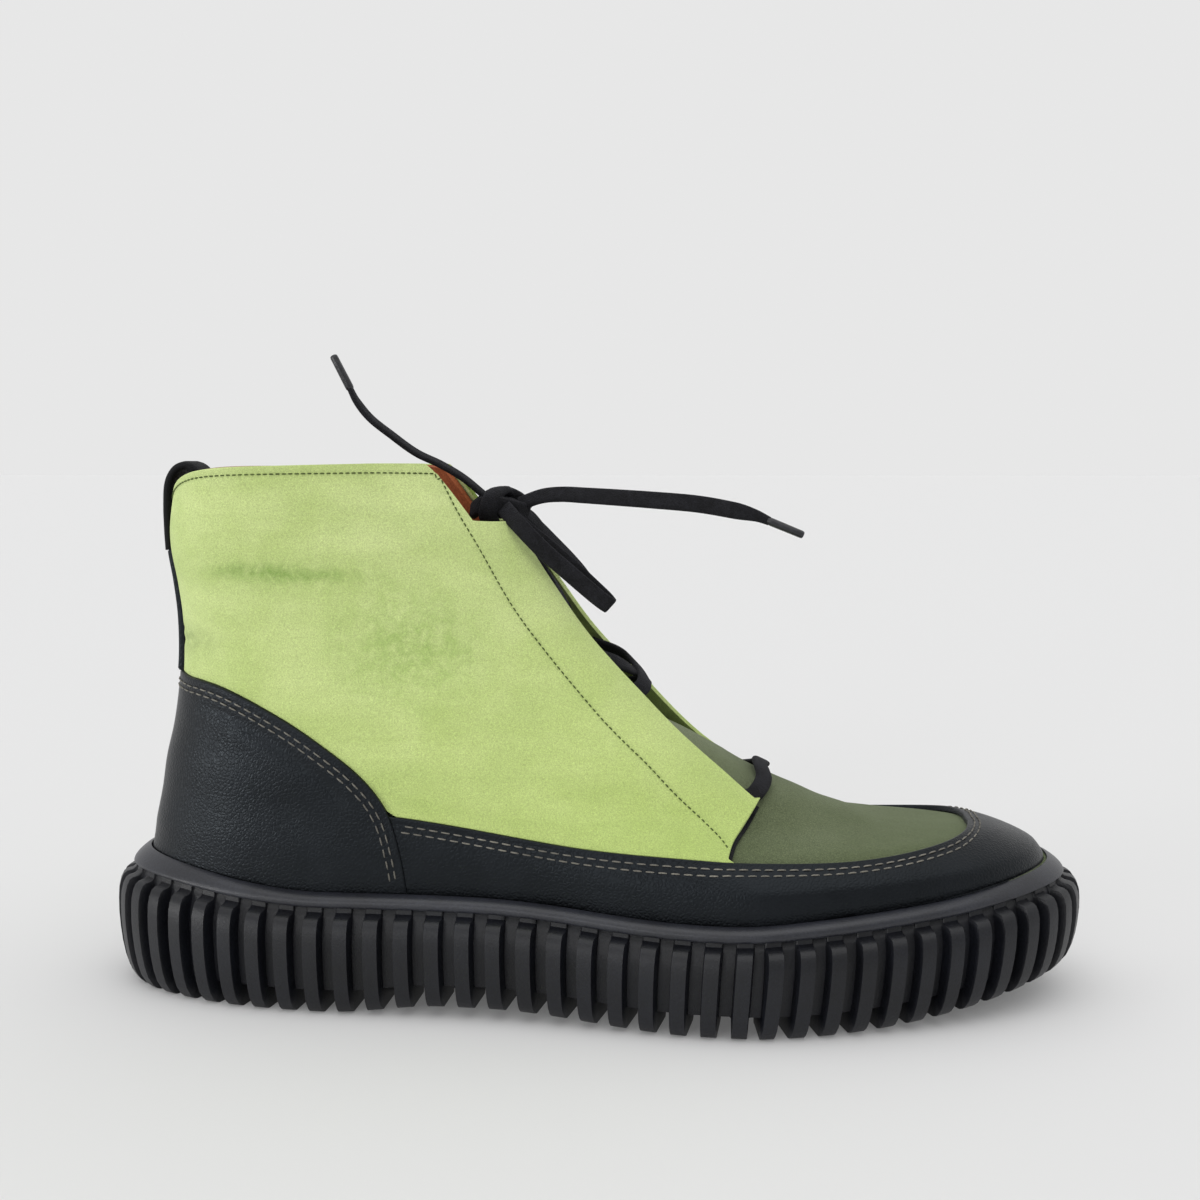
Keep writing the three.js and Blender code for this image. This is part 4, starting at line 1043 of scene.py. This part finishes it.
quarter_rows = {}
for side, name in ((-1, "outer"), (1, "inner")):
    front, top = facing_line(side), top_line(side)
    bottom = along_counter(side)
    bottom = bottom[bottom[:, 1] > rand_top(bottom[:, 0]) + 0.02]
    bottom = np.concatenate([bottom, rand_line(bottom[-1, 0], front[0, 0], 60)[1:]])
    back = np.stack([np.full(30, SEAM[side]), np.linspace(bottom[0, 1], TOP, 30)], -1)
    if side < 0:
        turn, s = panel_grid(bottom, top, back, front, 120, 80)
    else:
        turn, s = panel_grid(bottom[::-1], top[::-1], front, back, 120, 80)
    lift = flap_lift(turn, s)
    face = offset_point(turn, s, lift)
    row = quarter_rows[side] = green_row(side)
    groove = trough(face, offset_point(*row.T, flap_lift(*row.T)), *GREEN_GROOVE)
    fall = sum(trough(face, *crease) for crease in QUARTER_CREASES[side]) + groove
    front_face = offset_point(turn, s, lift + fall - round_edge(edge_distance(face), 0.35))
    faces = sheet_solid(front_face, offset_point(turn, s, lift - PANEL))
    make_piece("quarter_leather_" + name, *faces, lime_finish, "lime_leather", ["quarter_" + name])

# %% [markdown]
# The foot of each facing stands off the leather below, and the photo shows a dark line there. A thin
# black ribbon under the edge paints that line as shadow, because the lime sheet alone would show its own
# pale back.

# %% Painted shadow: a dark strip under the foot of each facing
painted_shadow_strips = []
for side in (-1, 1):
    foot = lines[side][2]
    foot = foot[foot[:, 1] > rand_top(foot[:, 0]) + 0.05]
    path = offset_point(*foot.T, -1.0) - np.array([0.1, 0, 0])
    forward = surface(foot[:, 0] + side * -0.004, foot[:, 1]) - surface(*foot.T)
    painted_shadow_strips.append(ribbon(path, unit(forward), 2.4, 0.6, 30)[:2])
make_piece("facing_painted_shadow", *join_parts(painted_shadow_strips), lace_finish, "lime_leather", [])

# %% [markdown]
# The rand is a strip of smooth black leather round the toe and the sides, and the counter is a cap
# of the same leather over the heel. Both are sewn down with two rows of pale thread.

# %% Rand
RAND_STEP = 0.5
COUNTER_STEP = 1.0
BEHIND_WELT = 0.7  # the ring at which both run down behind the welt
RAND_ROWS = (2.05, 3.6)  # the two stitch rows, from the edge
COUNTER_ROWS = (2.6, 4.3)
GROOVE_DEPTH = 0.14
GROOVE_WIDTH = 0.45


def rand_end(side):
    """An end of the rand, along the counter's edge from behind the welt up to the rand's own edge."""
    counter = lines[side][3]
    low = counter[counter[:, 1] < rand_top(counter[:, 0])][::-1]
    first, last = low[0, 0], low[-1, 0]
    return np.concatenate([[[first, BEHIND_WELT]], low, [[last, rand_top(last)]]])


def stitch_grooves(distance, rows):
    return sum(-GROOVE_DEPTH * np.exp(-(((distance - at) / GROOVE_WIDTH) ** 2)) for at in rows)


left, right = rand_end(-1), rand_end(1)
top = rand_line(left[-1, 0], right[-1, 0], 200)
bottom = level_line(left[0, 0], right[0, 0], BEHIND_WELT, 120)
turn, s = panel_grid(bottom, top, left, right, 260, 16)
face = offset_point(turn, s, RAND_STEP)
distance = edge_distance(face, axes=(1,))
upper_half = np.arange(turn.shape[1])[None, :] > turn.shape[1] / 2
RAND_CREASES = [
    ([(-40, -44, 34), (-22, -46, 39), (-6, -47, 44)], 2.2, 0.3),
    ([(-30, -45, 31), (-12, -47, 37), (6, -48, 42)], 2.0, 0.3),
    ([(-10, -47, 31), (8, -49, 36), (22, -50, 41)], 2.2, 0.25),
    ([(10, -49, 29), (26, -51, 34), (40, -51, 38)], 2.4, 0.2),
    ([(20, 44, 32), (40, 48, 38), (56, 48, 42)], 2.4, 0.3),
]
RAND_CRACKS = [
    ([(-47, -43, 41), (-40, -45, 39.2), (-33, -46, 38.9)], 0.5, 0.12),
    ([(-38, -45, 43), (-29, -46, 41), (-22, -47, 41.2)], 0.5, 0.1),
    ([(-20, -46, 37), (-12, -47, 39.5), (-4, -48, 40.2)], 0.5, 0.12),
    ([(-8, -47, 42), (2, -49, 40.4), (12, -50, 41.3)], 0.5, 0.1),
    ([(6, -49, 36.5), (16, -50.5, 38.6), (26, -51, 38.4)], 0.5, 0.1),
]
fall = sum(trough(face, *crease) for crease in RAND_CREASES + RAND_CRACKS)
fall = fall + stitch_grooves(distance, RAND_ROWS) * upper_half
face = offset_point(turn, s, RAND_STEP + fall - round_edge(distance, 0.5))
faces = sheet_solid(face, offset_point(turn, s, -PANEL))
make_piece("rand_leather", *faces, black_finish, "black_leather", ["rand"])

# %% Heel counter
CORNER_RING = 3.6  # where the counter's top edge turns down


def split_counter(edge):
    high = edge[edge[:, 1] >= CORNER_RING]
    low = edge[edge[:, 1] <= CORNER_RING][::-1]
    return high, np.concatenate([[[low[0, 0], BEHIND_WELT]], low, high[-1:]])


outer_edge, inner_edge = along_counter(-1), along_counter(1)
(outer_high, left), (inner_high, right) = split_counter(outer_edge), split_counter(inner_edge)
right = right - ONE_TURN
bottom = level_line(left[0, 0], right[0, 0], BEHIND_WELT, 80)
turn, s = panel_grid(bottom, full_line(outer_high, inner_high), left, right, 130, 40)
face = offset_point(turn, s, COUNTER_STEP)
distance = edge_distance(face)
COUNTER_CREASES = [
    ([(-112, -25, 84.6), (-104, -29, 83), (-96, -31.5, 79.5), (-86, -33.5, 73.6), (-77, -35, 67),
      (-70, -36, 60)], 1.6, 0.5),
    ([(-110, -25, 80), (-100, -30, 76.5), (-90, -33, 70.5), (-81, -35, 63.5)], 2.4, -0.35),
    ([(-92, -34, 62), (-86, -35, 57), (-83, -35.5, 51)], 3.0, 0.25),
    ([(-112, 25, 84), (-98, 31, 79), (-84, 33, 70)], 2.0, 0.35),
]
fall = sum(trough(face, *crease) for crease in COUNTER_CREASES)
fall = fall + stitch_grooves(distance, COUNTER_ROWS) * smooth(1.5, 2.5, s)
face = offset_point(turn, s, COUNTER_STEP + fall - round_edge(distance, 0.6))
faces = sheet_solid(face, offset_point(turn, s, -PANEL))
make_piece("counter_leather", *faces, black_finish, "black_leather", ["heel_counter"])

# %% [markdown]
# The cup sole is moulded in one piece: a smooth welt strip above, and below it upright ribs that run
# on under the edge as lugs. The ribs are spaced evenly round the widest line, so the grid is laid
# out along that line with extra columns at the flanks of every rib.


# %% Even spacing round the sole
def overhang_at(turn):
    way = beside_point(turn, 1.0, 0.0) - beside_point(turn, 0.0, 0.0)
    return mix(SIDE_OVERHANG, np.where(way[..., 0] < 0, HEEL_OVERHANG, TOE_OVERHANG), way[..., 0] ** 2)


samples = np.linspace(0, 1, 2881)
girth_run = run_along(beside_point(samples, overhang_at(samples), 0.0))
GIRTH = girth_run[-1]
WANTED_SPACING = 8.7
RIB_COUNT = int(round(GIRTH / WANTED_SPACING / 2) * 2)
RIB_SPACING = GIRTH / RIB_COUNT
LUG_HEIGHT = 6.5


def turn_at(run):
    return np.interp(np.mod(run, GIRTH), girth_run, samples)


print("sole girth", round(GIRTH, 1), "mm,", RIB_COUNT, "ribs")

# %% Welt strip
WELT_INSET = 4.2  # from the widest line of the sole
WELT_SECTION = [
    # share of the way out from the leather, share of the way down
    (0, 0.1), (0.12, 0.02), (0.35, 0.05), (0.6, 0.13), (0.8, 0.24), (0.93, 0.4), (1, 0.6), (1, 0.8),
    (0.95, 0.95), (0.88, 1), (0.4, 1), (0, 1),
]
turns = np.linspace(0, 1, 240, endpoint=False)
share = share_of(surface(turns, 1.0)[:, 0])
crown = WELT_CROWN * np.minimum(1, heel_climb(share) + toe_climb(share))
rows = []
for across, down in WELT_SECTION:
    outer = overhang_at(turns) - WELT_INSET - crown * (1 - down)
    out = mix(COUNTER_STEP + 0.25, outer, across)
    rows.append(beside_point(turns, out, mix(welt_top(share), welt_bottom(share), down)))
make_piece("welt_strip", *tube(rows, True), welt_finish, "rubber", ["welt"], 60)

# %% Ribbed sole
SOLE_ROWS = [
    # height from the tread to the welt, inset of a rib, inset of a groove
    (1.0, 13.5, 13.5), (1.0, 7.0, 7.5), (1.0, 5.4, 6.4), (0.955, 5.2, 5.9), (0.935, 4.2, 5.6),
    (0.925, 2.6, 5.4), (0.905, 1.6, 5.2), (0.86, 0.8, 4.8), (0.79, 0.2, 4.2), (0.7, 0.0, 3.8),
    (0.58, 0.0, 3.9), (0.46, 0.3, 4.1), (0.34, 0.8, 4.5), (0.22, 1.6, 5.2), (0.12, 2.7, 5.9),
    (0.05, 4.2, 6.6), (0.012, 5.6, 7.2), (0.0, 6.6, 7.6), (0.0, 19.5, 19.5),
]
RIB_COLUMNS = [
    # where a column lies in the rib's width, how much of the rib it stands out
    (-3.6, 0), (-2.62, 0), (-2.4, 0.2), (-2.28, 0.8), (-2.05, 1), (-1.0, 1), (1.0, 1), (2.05, 1),
    (2.28, 0.8), (2.4, 0.2), (2.62, 0), (3.6, 0),
]
LUG_DEPTH = 20.5  # how far the lugs run in from the widest line
BAR_END = 22.5  # and the cross bars start
BAR_SPACING = 14.0
BAR_HALF = 3
BAR_SECTION = [(-3, LUG_HEIGHT + 0.6), (-3, 0.7), (-2.3, 0), (2.3, 0), (3, 0.7), (3, LUG_HEIGHT + 0.6)]
runs = np.concatenate([k * RIB_SPACING + RIB_SPACING / 2 + np.array([c[0] for c in RIB_COLUMNS])
                       for k in range(RIB_COUNT)])
ribness = np.tile([c[1] for c in RIB_COLUMNS], RIB_COUNT)
share = share_of(surface(turn_at(runs), 1.0)[:, 0])
ground, ceiling = tread_at(share), welt_bottom(share) - 0.1
side_sign = np.where(turn_at(runs) < 0.5, 1, -1)
lean = side_sign * 0.07 * smooth(0.4, 0.7, share) * (1 - smooth(0.93, 1, share)) * (ceiling - ground)
rows = []
for height, rib, groove in SOLE_ROWS:
    place = turn_at(runs + lean * (height - 0.5))
    z = np.maximum(mix(ground, ceiling, height), mix(ground + LUG_HEIGHT, 0, ribness > 0.5))
    rows.append(beside_point(place, overhang_at(place) - mix(groove, rib, ribness), z))
place = turn_at(runs)
rows.append(beside_point(place, overhang_at(place) - LUG_DEPTH, LUG_HEIGHT + tread_at(share)))
rows.insert(0, beside_point(place, -1.3, floor_at(share) - 0.3))
rows.insert(1, rows[0] + np.array([0, 0, 1.0]) * (ceiling - rows[0][:, 2] - 0.2)[:, None])
parts = [tube(rows)]
middle = beside_point(samples, overhang_at(samples) - BAR_END, 0.0)
for k in range(-8, 9):
    x = k * BAR_SPACING
    half_widths = []
    for at in (x - BAR_HALF, x + BAR_HALF):
        for side in (-1, 1):
            on = middle[(np.sign(middle[:, 1] - 1) == side) & (np.abs(middle[:, 0] - at) < 2)]
            half_widths.append(abs(on[:, 1]).min() if len(on) else 0)
    if min(half_widths) < 4:
        continue
    outer, inner = -min(half_widths[0], half_widths[2]), min(half_widths[1], half_widths[3])
    ground = tread_at(share_of(x))
    parts.append(tube([[(x + a, y, ground + z) for a, z in BAR_SECTION] for y in (outer, inner)]))
make_piece("sole_ribbed", *join_parts(parts), rubber_finish, "rubber", ["outsole"], 35)

# %% [markdown]
# Thread is what the eye reads first on black leather, so every stitch is a short raised grain of
# thread. A dashed line in the material would be flat and would not catch the light.


# %% Stitches along a row
STITCH_SHAPE = [
    # place in the stitch's length, share of its thickness, height over the leather in thicknesses
    (-0.5, 0.25, -0.5), (-0.42, 0.75, -0.1), (-0.2, 1, 0.18), (0.2, 1, 0.18), (0.42, 0.75, -0.1),
    (0.5, 0.25, -0.5),
]
PALE_THREAD = (3.5, 2.6, 0.45)  # pitch, length and thickness of a stitch
GREEN_THREAD = (1.75, 1.25, 0.4)


def stitch_mesh(row, offset, pitch, length, thick, lift=None):
    """Separate stitches along a row of turns and rings, sunk a little at their ends."""
    even, given = np.linspace(0, 1, 1500), np.linspace(0, 1, len(row))
    turn, s = np.stack([np.interp(even, given, row[:, k]) for k in (0, 1)], -1).T
    path = offset_point(turn, s, offset if lift is None else lift(turn, s) + offset)
    normal = normal_at(turn, s)
    run = run_along(path)

    def at_run(place, values):
        return np.array([np.interp(place, run, values[:, k]) for k in range(3)])

    count = int(run[-1] / pitch)
    angles = np.linspace(0, 2 * np.pi, 7, endpoint=False)
    parts = []
    for k in range(count):
        centre = (k + 0.5) * pitch + (run[-1] - count * pitch) / 2
        rows = []
        for at, size, height in STITCH_SHAPE:
            place = centre + at * length
            up = unit(at_run(place, normal))
            way = unit(at_run(place + 0.2, path) - at_run(place - 0.2, path))
            ring = np.cos(angles)[:, None] * np.cross(up, way) + np.sin(angles)[:, None] * up
            rows.append(at_run(place, path) + up * height * thick + size * thick / 2 * ring)
        parts.append(tube(rows))
    return parts


def row_beside(edge, distance):
    """A row at a distance inside an edge line, measured on the leather towards lower rings."""
    turn, s = edge[:, 0], edge[:, 1]
    by_turn = step_round(turn, s) / 2e-3
    by_ring = (surface(turn, s + 0.02) - surface(turn, s - 0.02)) / 0.04
    here = surface(turn, s)
    way = unit(np.gradient(here, axis=0))
    side = unit(np.cross(way, normal_at(turn, s)))
    step = side * distance
    a, b, c = np.sum(by_turn**2, -1), np.sum(by_turn * by_ring, -1), np.sum(by_ring**2, -1)
    d, e = np.sum(step * by_turn, -1), np.sum(step * by_ring, -1)
    det = a * c - b * b
    return np.stack([turn + (d * c - e * b) / det, s + (e * a - d * b) / det], -1)


pale = []
rand_top_line = rand_line(lines[-1][3][-1, 0], lines[1][3][-1, 0], 300)[1:-1]
for distance in RAND_ROWS:
    pale += stitch_mesh(row_beside(rand_top_line, distance), RAND_STEP + 0.05, *PALE_THREAD)
full_counter = full_line(outer_edge, inner_edge)
full_counter = full_counter[full_counter[:, 1] > 1.4]
for distance in COUNTER_ROWS:
    pale += stitch_mesh(row_beside(full_counter, -distance), COUNTER_STEP + 0.05, *PALE_THREAD)
make_piece("pale_stitches", *join_parts(pale), thread_finish, "black_leather", [], 80)

green = []
for side in (-1, 1):
    green += stitch_mesh(quarter_rows[side], 0.0, *GREEN_THREAD, flap_lift)
make_piece("green_stitches", *join_parts(green), green_thread_finish, "lime_leather", [], 80)

# %% [markdown]
# A narrow black strip covers the back seam, and a tape loop above it helps to pull the boot on.

# %% Backstay and pull loop
BACKSTAY_STEP = 2.1
BACKSTAY_HALF = 6.5
turn, s = np.meshgrid(np.linspace(-0.045, 0.045, 30), np.linspace(6.55, 9.85, 60), indexing="ij")
turn = turn * (BACKSTAY_HALF / np.abs(offset_point(turn, s, BACKSTAY_STEP)[[0], :, 1]))
rounding = round_edge(edge_distance(offset_point(turn, s, BACKSTAY_STEP)), 0.6)
faces = sheet_solid(offset_point(turn, s, BACKSTAY_STEP - rounding)[::-1], offset_point(turn, s, 0.3)[::-1])
make_piece("backstay_leather", *faces, black_finish, "black_leather", ["backstay"])

LOOP_PATH = [(-129.1, 0, 129.3), (-129.4, 0, 135), (-129.5, 0, 143), (-128.9, 0, 149.5),
             (-126.6, 0, 153.4), (-123.4, 0, 154.4), (-120.6, 0, 152.4), (-119.4, 0, 147),
             (-119.6, 0, 140), (-120.2, 0, 134)]
TAPE_WIDTH = 15
TAPE_THICKNESS = 2.9
tape = ribbon(LOOP_PATH, [(0, 1, 0), (0, 1, 0)], TAPE_WIDTH, TAPE_THICKNESS, 60)[:2]
make_piece("loop_tape", *tape, webbing_finish, "webbing", ["pull_loop"])

# %% [markdown]
# The lace runs in under both facings. A straight bar closes the throat at its foot, and two
# crossings lie above it. Each is a ribbon laid over the tongue at a few widths and heights.


# %% Laces across the tongue
def turn_at_width(s, width):
    side = 1 if width >= 0 else -1
    return 0.5 + side * halving(lambda away: from_middle(0.5 + side * away, s) < abs(width), 0.0, 0.2, 26)


def lace_over(stations, settle=False):
    path, across = [], []
    for width, ring, height in stations:
        turn = turn_at_width(ring, width)
        path.append(offset_point(turn, ring, height))
        across.append(unit(surface(turn, ring + 0.2) - surface(turn, ring - 0.2)))
    if settle:
        before, after = across[:1] + across[:-1], across[1:] + across[-1:]
        across = [unit(a + b + c) for a, b, c in zip(before, across, after)]
    return ribbon(path, across, LACE_WIDTH, LACE_THICKNESS, 50)[:2]


def lace_cross(low, high, height, under):
    """Two laces that cross, each from under one facing to under the other."""
    def reach(ring):
        return float(facing_gap(up_throat(surface(0.5, ring)))) + 2.5

    return [lace_over([
        (-side * reach(low), low, under),
        (-side * reach(low) * 0.5, mix(low, high, 0.25), height + side * 0.4),
        (side * 0.01, mix(low, high, 0.5), height + side * 0.5),
        (side * reach(high) * 0.5, mix(low, high, 0.75), height + side * 0.4),
        (side * reach(high), high, under)]) for side in (-1, 1)]


half = [(27, 5.85, 0.15), (22.5, 5.9, 0.35), (18.2, 6.13, 0.5), (12, 6.43, 0.7), (6, 6.65, 0.8)]
bar = lace_over([(-w, r, h) for w, r, h in half] + [(0, 6.73, 0.8)] + half[::-1], True)
make_piece("lace_lowest_bar", *bar, lace_finish, "lace", ["lace_bar"])
for name, place in (("middle", (8.05, 9, 1.1, -1.7)), ("top", (9.5, 10.5, -2, -2.4))):
    crossing = join_parts(lace_cross(*place))
    make_piece("lace_crossing_" + name, *crossing, lace_finish, "lace", ["lace_cross_" + name])

# %% [markdown]
# The footbed lies in the cup and shows only through the collar, so it is a plain dished board with
# a soft edge.

# %% Footbed
turns = np.linspace(0, 1, 160, endpoint=False)
floor = floor_at(share_of(surface(turns, 1.0)[:, 0]))
FOOTBED_SECTION = [
    # inset from the last, height over the cup floor
    (4.0, 0.3), (3.5, 1.2), (3.6, 2.2), (4.4, 2.9), (7.0, 3.0), (14.0, 2.4), (24.0, 1.8),
]
rows = [beside_point(turns, -inset, floor + rise) for inset, rise in FOOTBED_SECTION]
make_piece("footbed", *tube(rows), lining_finish, "lining", ["insole"])

# %% [markdown]
# The boot stands on a plain pale floor under large soft lights, as in a shop photo. The floor is so
# large that its far edge meets a sky of the same grey. Behind the camera the room is dimmer, so the
# black leather keeps its depth, and three soft suns give it the highlights of the photo.

# %% Floor and light
floor_mesh = bpy.data.meshes.new("floor")
floor_mesh.from_pydata([(-30, -30, 0), (30, -30, 0), (30, 30, 0), (-30, 30, 0)], [], [(0, 1, 2, 3)])
floor = bpy.data.objects.new("floor", floor_mesh)
bpy.context.collection.objects.link(floor)
floor_finish, tree, shader, where = new_finish("pale_floor", 0.9, 0.1)
shader.inputs["Base Color"].default_value = (0.68, 0.68, 0.68, 1)
shader.inputs["Emission Color"].default_value = (1, 1, 1, 1)
shader.inputs["Emission Strength"].default_value = 0.1
floor_mesh.materials.append(floor_finish)

world = bpy.data.worlds.new("sky")
bpy.context.scene.world = world
world.use_nodes = True
tree = world.node_tree
direction = tree.nodes.new("ShaderNodeSeparateXYZ")
tree.links.new(tree.nodes.new("ShaderNodeTexCoord").outputs["Generated"], direction.inputs[0])
behind_camera = add_fade(tree, direction.outputs["Y"], -0.1, -0.6)
not_above = add_fade(tree, direction.outputs["Z"], 0.7, 0.3)
dim = add_math(tree, "MULTIPLY", behind_camera, not_above)
room = add_mix(tree, dim, (0.80, 0.80, 0.80, 1), (0.42, 0.42, 0.43, 1))
tree.links.new(room, tree.nodes["Background"].inputs["Color"])


def add_sun(name, come_from, strength, spread):
    data = bpy.data.lights.new(name, "SUN")
    data.energy = strength
    data.angle = math.radians(spread)
    sun = bpy.data.objects.new(name, data)
    sun.location = Vector(come_from)
    sun.rotation_euler = (-Vector(come_from)).to_track_quat("-Z", "Y").to_euler()
    bpy.context.collection.objects.link(sun)


add_sun("overhead", (0.05, -0.35, 1.0), 0.72, 60)
add_sun("front", (-0.35, -0.9, 0.25), 0.35, 20)
add_sun("left", (-0.85, -0.52, 0.01), 1.5, 24)
bpy.context.scene.view_settings.view_transform = "Standard"
print("lights:", len(bpy.data.lights))
